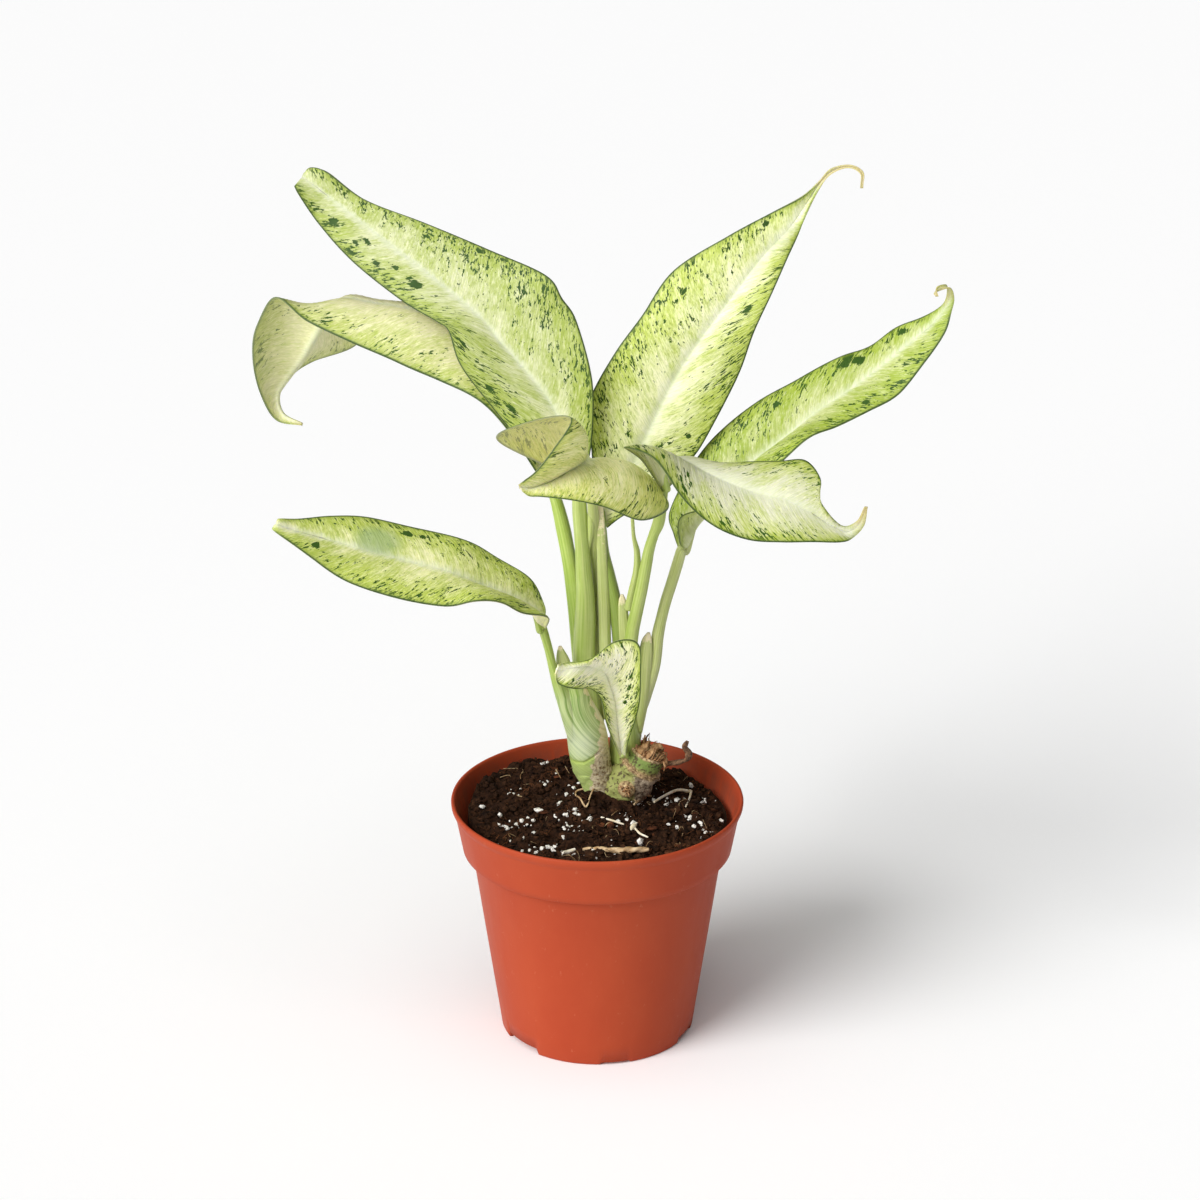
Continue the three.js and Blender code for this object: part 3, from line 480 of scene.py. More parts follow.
# Leaf skin of a variegated dieffenbachia, grown: cream ground, yellow-green creeping in from
# the margins in patches, fine grain along the side veins, dark flecks in clumps and blots, a
# whitish band on the midrib; the back is duller. A living leaf is waxy and lets light through.
def leafMaterial(name, look):
    material, add, finish = newMaterial("variegated_leaf_" + name)
    flat = add("UVMap", {}, uv_map="flat")
    along, across, wide, away, side, blot, haze = [
        add("Attribute", {}, "Fac", attribute_name=key)
        for key in ("along", "across", "wide", "away", "side", "blot", "haze")]

    # each pattern: size of its cells in mm across the side veins and along them, and its detail;
    # the finest are drawn as coarse as they need to be to show
    sizes = {"veins": (0.75, 16, 2), "grain": (0.42, 1.1, 3), "streaks": (0.62, 1.7, 4),
             "mottle": (1.9, 3.2, 3), "patches": (8, 13, 3), "specks": (0.9, 1.5, 2),
             "flecks": (2.6, 4.2, 3), "clumps": (6, 8, 3)}
    grey = {}
    for i, (key, (wideCell, longCell, detail)) in enumerate(sizes.items()):
        shift = (look["seed"] * 3.7 + i, look["seed"] * 1.9, look["seed"] + i * 5.3)
        scale = (1 / (wideCell * mm), 1 / (longCell * mm), 1)
        place = add("Mapping", {"Vector": flat, "Location": shift, "Scale": scale})
        grey[key] = add("TexNoise", {"Vector": place, "Scale": 1, "Detail": detail, "Roughness": 0.6})

    # how green the skin is: 0 cream, 1 green; more towards the margin and in patches
    inward = add("Math", {0: 1.0, 1: across}, operation="SUBTRACT")
    inward = add("Math", {0: inward, 1: wide}, operation="MULTIPLY")
    edge = add("Math", {0: across, 1: 1.8}, operation="POWER")
    green = add("Math", {0: edge, 1: 0.62, 2: look["green"] * 0.5 - 1.02}, operation="MULTIPLY_ADD")
    green = add("Math", {0: grey["patches"], 1: 1.3, 2: green}, operation="MULTIPLY_ADD")
    green = add("Math", {0: grey["mottle"], 1: 0.7, 2: green}, operation="MULTIPLY_ADD")
    wash = add("ValToRGB", {0: green}, stops=[(0.14, 0), (0.72, 1)])
    skin = add("Mix", {0: wash, 6: look["ground"], 7: look["wash"]}, 2, data_type="RGBA")

    # fine grain and streaks: dark where the skin is green, milky between; and vein lines
    strong = add("Math", {0: wash, 1: 0.55, 2: 0.17}, operation="MULTIPLY_ADD")
    for key, begin, full, colour in (("grain", 0.5, 0.64, "#98AE3E"), ("streaks", 0.52, 0.66, "#88A034")):
        dark = add("ValToRGB", {0: grey[key]}, stops=[(begin, 0), (full, 1)])
        dark = add("Math", {0: dark, 1: strong}, operation="MULTIPLY")
        skin = add("Mix", {0: dark, 6: skin, 7: colour}, 2, data_type="RGBA")
    milk = add("ValToRGB", {0: grey["streaks"]}, stops=[(0.32, 0.36), (0.48, 0)])
    skin = add("Mix", {0: milk, 6: skin, 7: "#F5F6D0"}, 2, data_type="RGBA")
    line = add("ValToRGB", {0: grey["veins"]}, stops=[(0.5, 0), (0.66, 0.4)])
    skin = add("Mix", {0: line, 6: skin, 7: "#A3B65C"}, 2, data_type="RGBA")

    # dark specks in clumps, mostly near the margins, rarer larger flecks, and the blots
    reach = look["flecks"] * 0.14 - 0.46
    reach = add("Math", {0: grey["clumps"], 1: 0.6, 2: reach}, operation="MULTIPLY_ADD")
    reach = add("Math", {0: edge, 1: 0.16, 2: reach}, operation="MULTIPLY_ADD")
    reach = add("Math", {0: reach, 1: 0.11}, operation="MINIMUM")
    speck = add("Math", {0: grey["specks"], 1: reach}, operation="ADD")
    speck = add("ValToRGB", {0: speck}, stops=[(0.63, 0), (0.66, 1)])
    fleck = add("Math", {0: grey["flecks"], 1: reach}, operation="ADD")
    fleck = add("ValToRGB", {0: fleck}, stops=[(0.73, 0), (0.755, 1)])
    fleck = add("Math", {0: speck, 1: fleck}, operation="MAXIMUM")
    clear = add("MapRange", {"Value": away, "From Min": 2, "From Max": 5})
    fleck = add("Math", {0: fleck, 1: clear}, operation="MULTIPLY")
    blot = add("Math", {0: blot, 1: 0.5}, operation="MULTIPLY")
    blot = add("Math", {0: grey["mottle"], 1: 0.8, 2: blot}, operation="MULTIPLY_ADD")
    blot = add("Math", {0: grey["grain"], 1: 0.35, 2: blot}, operation="MULTIPLY_ADD")
    blot = add("ValToRGB", {0: blot}, stops=[(0.74, 0), (0.78, 1)])
    fleck = add("Math", {0: fleck, 1: blot}, operation="MAXIMUM")
    tone = add("Mix", {0: grey["patches"], 6: "#17340C", 7: "#3E661C"}, 2, data_type="RGBA")
    skin = add("Mix", {0: fleck, 6: skin, 7: tone}, 2, data_type="RGBA")

    # whitish band of the midrib, wide and soft at the stalk, narrowing to the tip, and painted
    # shade, greyish, in the groove down its middle where the blade is broad
    bandHalf = add("Math", {0: along, 1: -look["band"] * 0.55, 2: look["band"]}, operation="MULTIPLY_ADD")
    band = add("Math", {0: away, 1: bandHalf}, operation="DIVIDE")
    band = add("Math", {0: grey["mottle"], 1: 1.5, 2: band}, operation="MULTIPLY_ADD")
    band = add("MapRange", {"Value": band, "From Min": 2.3, "From Max": 0.7, "To Max": 0.6},
               interpolation_type="SMOOTHSTEP")
    skin = add("Mix", {0: band, 6: skin, 7: "#D9DEC6"}, 2, data_type="RGBA")
    grooveShade = add("MapRange", {"Value": away, "From Min": 0.9, "From Max": 0.1, "To Max": look["gutter"]})
    broad = add("MapRange", {"Value": wide, "From Min": 13, "From Max": 20})
    grooveShade = add("Math", {0: grooveShade, 1: broad}, operation="MULTIPLY")
    skin = add("Mix", {0: grooveShade, 6: skin, 7: "#B4BF98"}, 2, data_type="RGBA")

    # green rim about 2 mm wide, then a dark line on the very margin, both gone at narrow ends
    notSlim = add("MapRange", {"Value": wide, "From Min": 1, "From Max": 5})
    for begin, full, most, colour in ((2.2, 0.2, 0.55, "#83983C"), (0.8, 0.25, 0.9, "#2F4A26")):
        rim = add("MapRange", {"Value": inward, "From Min": begin, "From Max": full, "To Max": most},
                  interpolation_type="SMOOTHSTEP")
        rim = add("Math", {0: rim, 1: notSlim}, operation="MULTIPLY")
        skin = add("Mix", {0: rim, 6: skin, 7: colour}, 2, data_type="RGBA")

    # faded grey-green haze in a few places; narrow tips dry out to tan
    skin = add("Mix", {0: haze, 6: skin, 7: "#8FA873"}, 2, data_type="RGBA")
    dry = add("MapRange", {"Value": wide, "From Min": 2.2, "From Max": 0.8, "To Max": 0.85})
    skin = add("Mix", {0: dry, 6: skin, 7: "#BBAE74"}, 2, data_type="RGBA")

    # the back fades to its own colour; then this leaf's own saturation, and its brightness, which is partly
    # its own tone and partly painted light and shade: raised where the leaf lies in shade, lowered where it
    # is in full light
    back = add("Mix", {0: look["fade"], 6: skin, 7: look["back"]}, 2, data_type="RGBA")
    skin = add("Mix", {0: side, 6: back, 7: skin}, 2, data_type="RGBA")
    skin = add("HueSaturation", {"Color": skin, "Hue": 0.49, "Saturation": look["rich"],
                                 "Value": look["light"]})
    gloss = add("Math", {0: grey["grain"], 1: 0.15, 2: 0.4}, operation="MULTIPLY_ADD")
    bump = add("Bump", {"Height": grey["grain"], "Distance": 0.12 * mm, "Strength": 0.5})
    bump = add("Bump", {"Height": grey["veins"], "Distance": 0.35 * mm, "Strength": 0.6, "Normal": bump})
    finish({"Base Color": skin, "Roughness": gloss, "Normal": bump, "IOR": 1.45, "Specular IOR Level": 0.3,
            "Subsurface Weight": 0.3, "Subsurface Radius": (0.9, 1.0, 0.35), "Subsurface Scale": 1.2 * mm})
    return material


for name, leaf in leaves.items():
    makeBlade(name, leaf, leafMaterial(name[5:], leaf))


# Stalks, as rows (x, y, z, radius) in mm from the blade downwards. Tint is how dull the green is,
# the painted shade how far a stalk that lies in shade is darkened, facing the turn at which the
# channel looks, leaf the blade that the stalk carries, under the places of its points below that
# blade where they aren't the usual ones; a painted one runs into the broad sheath. Tips are the
# dried ends of old sheaths.
leftShoot = {
    "stalks": [
        {"rows": [[-17.2, 18, 203.2, 1.7], [-14.6, 17, 197.9, 2.1], [-12.1, 14.5, 188.2, 2.6],
                  [-10.6, 12.5, 180.8, 2.6], [-9.4, 11, 174.5, 2.7], [-8.2, 9.5, 166.1, 2.9],
                  [-7.2, 8.5, 158.1, 3.1], [-6.3, 7.5, 148.1, 3.2], [-5.1, 7, 134.7, 3.3],
                  [-3.3, 7, 119.1, 3.4]],
         "tint": 0.05, "facing": 2.2, "leaf": "leaf_far_left"},
        {"rows": [[-6.3, 5, 203.3, 2.5], [-6.1, 5, 197.4, 2.6], [-5.7, 5, 190.6, 2.5],
                  [-5.2, 5, 183.7, 2.6], [-4.8, 4.5, 175.7, 2.8], [-4.2, 4.5, 166.7, 3.2],
                  [-4.3, 4.5, 156.3, 3.7], [-4.7, 5, 142.1, 3.9], [-4, 5.5, 127.6, 4.1],
                  [-2.6, 6.5, 111.5, 4.2]],
         "tint": 0.4, "facing": 1.2, "leaf": "leaf_upper_left"},
        {"rows": [[-2, -0.5, 208.8, 1.6], [-1.6, 3, 201, 1.9], [-1.1, 6, 192.4, 2], [-0.8, 8, 181.2, 2],
                  [0.2, 9, 172.5, 2.1], [0.5, 9, 164.9, 2.1], [0.3, 9, 154.4, 2.1],
                  [-0.5, 9, 141.8, 2.1], [-0.1, 9, 128, 2.4], [-0.1, 8.5, 110.6, 2.6]],
         "tint": 0.9, "facing": 0.9, "leaf": "leaf_centre_front"},
        {"rows": [[-2, 4.4, 201.2, 1.1], [-2, 4.4, 196.4, 1.5], [-2.3, 4.6, 190.3, 1.2],
                  [-3, 4.8, 183.9, 0.5]],
         "tint": 0.6, "facing": 1.0},
        {"rows": [[-19.7, -6, 159.5, 1.6], [-18.7, -6, 156.6, 1.6], [-17.1, -6, 150.4, 1.5],
                  [-15.6, -5.5, 143.1, 1.6], [-13.5, -4, 134.9, 2.2], [-10.4, -1.5, 126.4, 3.4],
                  [-6.9, 2, 115.5, 4.4], [-4, 4, 106.7, 4.6]],
         "tint": 0.3, "facing": 0.6, "leaf": "leaf_lower_left",
         "painted": True},
    ],
    "tips": [[[-13.1, -3, 150.2, 0.4], [-12.8, -2.6, 147.8, 1.2], [-12.1, -2, 144, 2.2],
              [-11.1, -1, 139.4, 2.6]],
             [[0.6, 6, 208, 0.5], [1.2, 5.8, 192, 1.2], [2.2, 5.6, 166, 1.8], [2.6, 5.8, 150, 2],
              [3, 6.2, 134, 2], [3.2, 6.6, 118, 1.2]]],
}
rightShoot = {
    "stalks": [
        {"rows": [[1, 9.4, 195.6, 1.8], [1.1, 8, 189.4, 2.3], [2.2, 7.5, 181.4, 2.1],
                  [4.1, 7, 173.3, 2.2], [6.1, 6.5, 163.8, 2.4], [7.2, 6.5, 155.5, 2.5],
                  [7.9, 7, 146.3, 2.5], [8.1, 7.5, 134.5, 2.6], [8.1, 8, 122.6, 2.8], [8.2, 9, 106.4, 3]],
         # painted shade: this stalk lies in shade, so its green is darkened towards a deep green
         "tint": 0.35, "deep": 0.75, "facing": 2, "leaf": "leaf_upright"},
        {"rows": [[22.9, -9.9, 211.9, 1.6], [21.4, -8, 199.7, 2.1], [19.6, -6.5, 193.7, 1.8],
                  [18.1, -5, 187.7, 1.9], [16.9, -3.5, 180.3, 2.1], [15.5, -1.5, 171.3, 2.2],
                  [14, 0.5, 162.9, 2.3], [12.4, 2.5, 153.6, 2.4], [11.4, 4, 143.8, 2.6],
                  [10.8, 6, 129.3, 2.8], [10.3, 8, 110.8, 3]],
         "tint": 0.35, "facing": 2.4, "leaf": "leaf_right_front"},
        {"rows": [[29.7, 4, 184, 1.9], [28.2, 5, 178.3, 2], [26.3, 5.6, 171.1, 2], [24.3, 6, 164, 2],
                  [22.7, 6.5, 156.9, 2], [21.4, 7, 149.7, 2.2], [20.2, 8, 138.2, 2.3],
                  [17, 9, 126.2, 2.5], [15, 9.5, 119.2, 2.5], [13.2, 10, 109.9, 2.7], [12.5, 10, 100, 3]],
         "tint": 0.95, "facing": 2.4, "leaf": "leaf_right"},
        {"rows": [[12.2, -4, 198.8, 0.6], [12.7, -3, 191.6, 0.7], [13.9, -1.6, 185, 1.1],
                  [13.8, -1, 177.9, 1.3], [12.3, 0, 170, 1.4], [11, 1.5, 162.5, 1.5]],
         "tint": 0.7, "facing": 1},
        {"rows": [[9, -1.6, 107.2, 1.2], [9, 1, 108, 1.6], [9.2, 5, 109, 1.8]],
         "tint": 0.5, "facing": 1, "leaf": "leaf_small_front", "under": [1, 0.6, 0.3, 0.05]},
        {"rows": [[10.3, 8, 123.4, 3.2], [9.9, 8.5, 115.7, 4.8], [10, 9, 107.6, 5.7],
                  [10, 9.5, 98.2, 5.7], [10, 9.5, 88.3, 5.2], [10, 9.5, 76.2, 4.8]],
         "tint": 0.2, "facing": 2.4},
    ],
    "tips": [[[18.2, 5, 152, 0.4], [17.6, 5.4, 148.6, 1.5], [17.2, 6, 142.9, 2.1], [16.8, 7, 135.9, 2.3],
              [16.2, 7.6, 126, 2.3], [14.8, 8.2, 112, 1.4]],
             [[8.7, 3.8, 167, 0.4], [8.9, 4.2, 163.5, 1.2], [9.3, 4.7, 156, 1.7], [9.9, 5.4, 146, 1.9],
              [10.4, 6, 134, 1.8], [10.6, 6.6, 122, 1]]],
}
# The broad sheath in front: its stripes follow x - bend * (bendFrom - z)^2, and lean above that;
# it is dried right of one line of (x, z) and has its old leaf's ring along another; milk is the
# middle, breadth and height of a milky spot, back the y behind which nothing is painted.
frontSheath = {
    "rows": [[-9.3, 0.5, 135.6, 3.2], [-9.1, 1, 131.5, 5.2], [-7.9, 1.5, 126.3, 6],
             [-6.2, 2.5, 121.1, 6.6], [-4.4, 3.5, 116, 7], [-3.5, 4.5, 111.2, 7.3],
             [-3, 5.2, 106.2, 7.3], [-2.3, 5.8, 101.9, 7.2], [-1.4, 6, 98.7, 6.7], [-0.1, 6, 93.9, 6],
             [1, 6, 87.9, 5.2]],
    "bend": 0.027, "bendFrom": 131, "lean": 0.28,
    "dried": [[-2, 103], [-0.2, 108], [0.8, 113], [1, 118], [-0.4, 122], [-2.3, 127.4], [-4.5, 132.4]],
    "ring": [[-12, 104], [-8.7, 103.7], [-4.7, 104.3], [-0.8, 107.1], [4, 111]], "ringDip": 0.35,
    "milk": [-5.4, 112, 6, 7], "back": 8, "stripesEnd": 138, "corkEnd": 114,
}


# Section of a stalk: round, less a channel that fades towards the foot:
# 1 - depth * (1 - 0.6 t) * exp(-(angle from the facing / 0.45)^2).
def channelled(facing):
    depth = 0.16

    def shape(t, turn):
        turned = np.abs(np.angle(np.exp(1j * (turn - facing))))
        return 1 - depth * (1 - 0.6 * t) * np.exp(-(turned / 0.45) ** 2)
    return shape


# Fleshy green stalk, grown: pale lengthwise streaks and mottling, duller by the tint, white and
# green stripes where it is a sheath, brown and papery where it has dried, milky in places.
def stalkMaterial():
    material, add, finish = newMaterial("fleshy_green_stalk", {"Specular IOR Level": 0.35})
    flat = add("UVMap", {}, uv_map="flat")
    tint, dried, deep, striped, milky, corky = [
        add("Attribute", {}, "Fac", attribute_name=key)
        for key in ("tint", "dried", "deep", "striped", "milky", "corky")]

    # each pattern: size of its cells in mm along the stalk and across it, and its roughness
    sizes = {"lines": (50, 0.77, 0.6), "bands": (71.4, 1.43, 0.7), "patches": (11.1, 3.85, 0.6)}
    grey = {}
    for key, (longCell, wideCell, rough) in sizes.items():
        place = add("Mapping", {"Vector": flat, "Scale": (1 / (longCell * mm), 1 / (wideCell * mm), 1)})
        grey[key] = add("TexNoise", {"Vector": place, "Scale": 1, "Detail": 3, "Roughness": rough})
    place = add("TexCoord", {}, "Object")
    specks = add("TexNoise", {"Vector": place, "Scale": 1 / (1.11 * mm), "Detail": 3, "Roughness": 0.6})

    # living skin: fresh, then dull by the tint, mottled, darkened by painted shade where a stalk lies in
    # shade, striped and milky
    streak = add("ValToRGB", {0: grey["lines"]}, stops=[(0.35, 0), (0.7, 1)])
    skin = add("Mix", {0: streak, 6: "#8FAB3E", 7: "#B9C96C"}, 2, data_type="RGBA")
    dull = add("Mix", {0: streak, 6: "#A6B262", 7: "#D2D69C"}, 2, data_type="RGBA")
    patch = add("ValToRGB", {0: grey["patches"]}, stops=[(0.5, 0), (0.75, 0.3)])
    stripe = add("ValToRGB", {0: grey["bands"]}, stops=[(0.4, 0), (0.55, 1)])
    stripes = add("Mix", {0: stripe, 6: "#7D9C48", 7: "#C4D294"}, 2, data_type="RGBA")
    for share, colour in ((tint, dull), (patch, "#D0DB98"), (deep, "#7A8F3C"), (striped, stripes),
                          (milky, "#E0E6CA")):
        skin = add("Mix", {0: share, 6: skin, 7: colour}, 2, data_type="RGBA")

    # dried skin: paper, then cork and dark spots; specks make its edge uneven
    paper = add("Mix", {0: streak, 6: "#E0CFA2", 7: "#FAF2D6"}, 2, data_type="RGBA")
    coarse = add("ValToRGB", {0: specks}, stops=[(0.36, 0), (0.56, 1)])
    cork = add("Mix", {0: coarse, 6: "#7E6242", 7: "#DACCA8"}, 2, data_type="RGBA")
    spot = add("ValToRGB", {0: grey["patches"]}, stops=[(0.56, 0), (0.7, 0.6)])
    spot = add("Math", {0: spot, 1: corky}, operation="MULTIPLY")
    for share, colour in ((corky, cork), (spot, "#4E3524")):
        paper = add("Mix", {0: share, 6: paper, 7: colour}, 2, data_type="RGBA")
    uneven = add("Math", {0: specks, 1: 1.4, 2: -0.7}, operation="MULTIPLY_ADD")
    worn = add("Math", {0: dried, 1: uneven}, operation="ADD", use_clamp=True)
    worn = add("ValToRGB", {0: worn}, stops=[(0.3, 0), (0.6, 1)])
    skin = add("Mix", {0: worn, 6: skin, 7: paper}, 2, data_type="RGBA")
    gloss = add("Math", {0: dried, 1: 0.35, 2: 0.4}, operation="MULTIPLY_ADD")
    grain = add("Bump", {"Height": grey["lines"], "Distance": 0.4 * mm, "Strength": 0.7})
    finish({"Base Color": skin, "Roughness": gloss, "Normal": grain, "Subsurface Weight": 0.15,
            "Subsurface Radius": (1.0, 1.2, 0.35), "Subsurface Scale": 1.5 * mm})
    return material


stalkSkin = stalkMaterial()


# A stalk runs on under its blade: four points, placed by station number, each 0.8 of its radius
# below the midrib; the radius grows from 0.35 to 0.95 of the stalk's own.
def underBlade(stalk):
    if "leaf" not in stalk:
        return stalk["rows"]
    rows = bladeRows(leaves[stalk["leaf"]]["stations"])
    stations = np.array(stalk.get("under", [1.6, 1, 0.5, 0.1]))
    line = through(rows, stations / (len(rows) - 1))
    size = np.array(stalk["rows"])[0, 3] * np.linspace(0.35, 0.95, len(line))
    below = line[:, :3] - unit(line[:, 9:12]) * size[:, None] * 0.8
    return np.vstack([np.column_stack([below, size]), stalk["rows"]])


# Paints a surface as the broad sheath: the flat map is z and the bent x, so that stripes follow
# the bend; dried right of its line, corky low down there, milky in a bell-shaped spot, plain
# under the ring, where a bell-shaped dip of the height above the ring sets the front back.
def paintSheath(surface, sheath):
    x, y, z = surface["co"].T
    low, high = np.maximum(sheath["bendFrom"] - z, 0), np.maximum(z - sheath["bendFrom"], 0)
    bent = x - sheath["bend"] * low ** 2 + sheath["lean"] * high
    edge, ring = np.array(sheath["dried"]), np.array(sheath["ring"])
    past = x - np.interp(z, edge[:, 1], edge[:, 0]) + 0.5 * np.sin(1.3 * z)
    above = z - np.interp(x, ring[:, 0], ring[:, 1])
    milkX, milkZ, milkWide, milkHigh = sheath["milk"]
    milk = 0.55 * np.exp(-((x - milkX) / milkWide) ** 2 - ((z - milkZ) / milkHigh) ** 2)
    front = (y < sheath["back"]).astype(float)
    foot = np.clip(-above / 2, 0, 1)
    driedFoot = 0.75 * foot * np.clip((x + 4) / 5, 0, 1)
    surface["uv"] = np.stack([z, bent], -1)
    surface["values"].update({
        "tint": np.full(len(x), 0.15),
        "striped": front * np.clip(above / 1.5, 0, 1) * np.clip((sheath["stripesEnd"] - z) / 8, 0, 1),
        "dried": front * np.maximum(np.clip(past / 1.6 + 0.5, 0, 1), driedFoot),
        "corky": front * np.clip((sheath["corkEnd"] - z) / 12, 0, 1),
        "milky": front * np.maximum(milk * np.clip(above / 2, 0, 1), 0.12 * foot),
    })
    dip = sheath["ringDip"] * np.exp(-(above / 0.5) ** 2) * front
    surface["co"] = surface["co"] + np.stack([0 * x, dip, 0 * x], -1)
    return surface


# All the stalks of a shoot, and the tips of its old sheaths: tubes flattened by
# 1 + 0.35 cos(2 turn) (1 - t), more and more dried over the top 30 per cent of their length.
def shootSurface(shoot, more=()):
    tubes = []
    for stalk in shoot["stalks"]:
        tube = tubeSurface(underBlade(stalk), 90, 30, channelled(stalk["facing"]),
                           tint=stalk["tint"], deep=stalk.get("deep", 0))
        tubes.append(paintSheath(tube, frontSheath) if "painted" in stalk else tube)
    for rows in shoot["tips"]:
        tip = tubeSurface(rows, 60, 20, lambda t, turn: 1 + 0.35 * np.cos(2 * turn) * (1 - t), tint=0.9)
        tip["values"]["dried"] = np.clip((0.3 - tip["values"]["along"]) / 0.25, 0, 1)
        tubes.append(tip)
    return joinSurfaces(tubes + list(more))


broad = paintSheath(tubeSurface(frontSheath["rows"], 150, 120), frontSheath)
makePiece("left_shoot_stalks", shootSurface(leftShoot, [broad]), stalkSkin, ["left_shoot"])
makePiece("right_shoot_stalks", shootSurface(rightShoot), stalkSkin, ["right_shoot"])


# Corky old cane, grown and then cut: green young bark with brown specks, tan and grey cork with
# creases where it is old, tan rings at the leaf scars, raw torn fibre where it was cut.
def caneMaterial():
    material, add, finish = newMaterial("old_ringed_cane", {"Roughness": 0.72})
    place = add("TexCoord", {}, "Object")
    scar, raw, fresh, withered, corky = [
        add("Attribute", {}, "Fac", attribute_name=key)
        for key in ("scar", "raw", "fresh", "withered", "corky")]

    # each pattern: size of its cells in mm, its detail and its roughness
    sizes = {"patches": (4.17, 4, 0.65), "cork": (1, 3, 0.65), "spots": (1.43, 2, 0.5)}
    grey = {key: add("TexNoise", {"Vector": place, "Scale": 1 / (cell * mm), "Detail": detail,
                                  "Roughness": rough})
            for key, (cell, detail, rough) in sizes.items()}
    young = add("Mix", {0: grey["patches"], 6: "#5E7A2E", 7: "#9CAA5C"}, 2, data_type="RGBA")
    old = add("Mix", {0: grey["patches"], 6: "#70782E", 7: "#B8AE70"}, 2, data_type="RGBA")
    bark = add("Mix", {0: fresh, 6: old, 7: young}, 2, data_type="RGBA")
    dot = add("ValToRGB", {0: grey["spots"]}, stops=[(0.52, 0), (0.6, 0.9)])
    bark = add("Mix", {0: dot, 6: bark, 7: "#4A3A20"}, 2, data_type="RGBA")
    uneven = add("Math", {0: grey["patches"], 1: 1.6, 2: -0.8}, operation="MULTIPLY_ADD")
    reach = add("Math", {0: corky, 1: uneven}, operation="ADD", use_clamp=True)
    reach = add("ValToRGB", {0: reach}, stops=[(0.35, 0), (0.6, 1)])

    # grey cork, tan scars, torn fibre and the withered sprout, each of two colours
    coarse = add("ValToRGB", {0: grey["cork"]}, stops=[(0.36, 0), (0.6, 1)])
    for share, dark, light in ((reach, "#5A4634", "#BEAC92"), (scar, "#6A4A2C", "#C4A87A"),
                               (raw, "#7A5230", "#E6CC9C"), (withered, "#3E281A", "#8A6444")):
        over = add("Mix", {0: coarse, 6: dark, 7: light}, 2, data_type="RGBA")
        bark = add("Mix", {0: share, 6: bark, 7: over}, 2, data_type="RGBA")
    grain = add("Bump", {"Height": grey["cork"], "Distance": 0.5 * mm, "Strength": 0.8})
    grain = add("Bump", {"Height": grey["patches"], "Distance": 1.2 * mm, "Strength": 0.5, "Normal": grain})
    finish({"Base Color": bark, "Normal": grain})
    return material


# The cane's pieces as rows (x, y, z, radius), in mm; the knob is the foot of the left shoot,
# its middle and half sizes.
cane = {
    "young": [[18.2, 4.5, 105.3, 6.2], [17.5, 4.5, 103.7, 6.6], [16, 4.6, 100.6, 6.6], [14, 4.9, 97, 6.2]],
    "old": [[15.9, 4.6, 100.6, 7.5], [15.2, 4.7, 99.4, 8.1], [13.7, 5, 97, 7.9], [11.4, 5.4, 93.8, 8.4],
            [8.9, 5.8, 90.4, 8.2], [6.6, 6, 86.3, 7.6], [4.8, 6, 79.9, 6]],
    "knob": ([-1.5, 6, 98.3], [7.1, 6.5, 6.2]),
    "bud": [[10.5, -4.4, 94.9, 1.6], [10.5, -2.8, 94.5, 3.2], [11, 3, 93.7, 3.3]],
    "sprout": [[32.3, 3, 110.7, 0.5], [31.3, 3, 108.4, 0.9], [32.7, 3, 106, 1.1],
               [32.2, 3, 103.6, 1.2], [29.7, 3, 102.5, 1.1], [26.8, 3.5, 101.8, 1.1],
               [22.9, 4, 101.2, 1.4], [18.2, 5, 99.1, 1.6]],
    "creases": 0.35, "rings": 0.22, "ringCount": 5,
}


# The swollen foot of the left shoot: the middle plus half the size times the direction of
# lat and lon, swollen by 1 + 0.03 sin(5 lon + 3 lat) + 0.02 sin(9 lat).
def knobSurface(middle, half):
    rows, columns = 40, 64
    lat = np.linspace(0.001, np.pi - 0.001, rows)[:, None]
    lon = np.linspace(0, 2 * np.pi, columns, endpoint=False)[None]
    level = np.sin(lat)
    way = np.stack(np.broadcast_arrays(level * np.cos(lon), level * np.sin(lon), np.cos(lat)), -1)
    swell = 1 + 0.03 * np.sin(5 * lon + 3 * lat) + 0.02 * np.sin(9 * lat)
    co = np.asarray(middle) + way * np.asarray(half) * swell[..., None]
    co = np.vstack([co.reshape(-1, 3), co[0].mean(0), co[-1].mean(0)])
    return {**ringFaces(rows, columns, True), "co": co, "uv": co[:, :2], "values": {}}


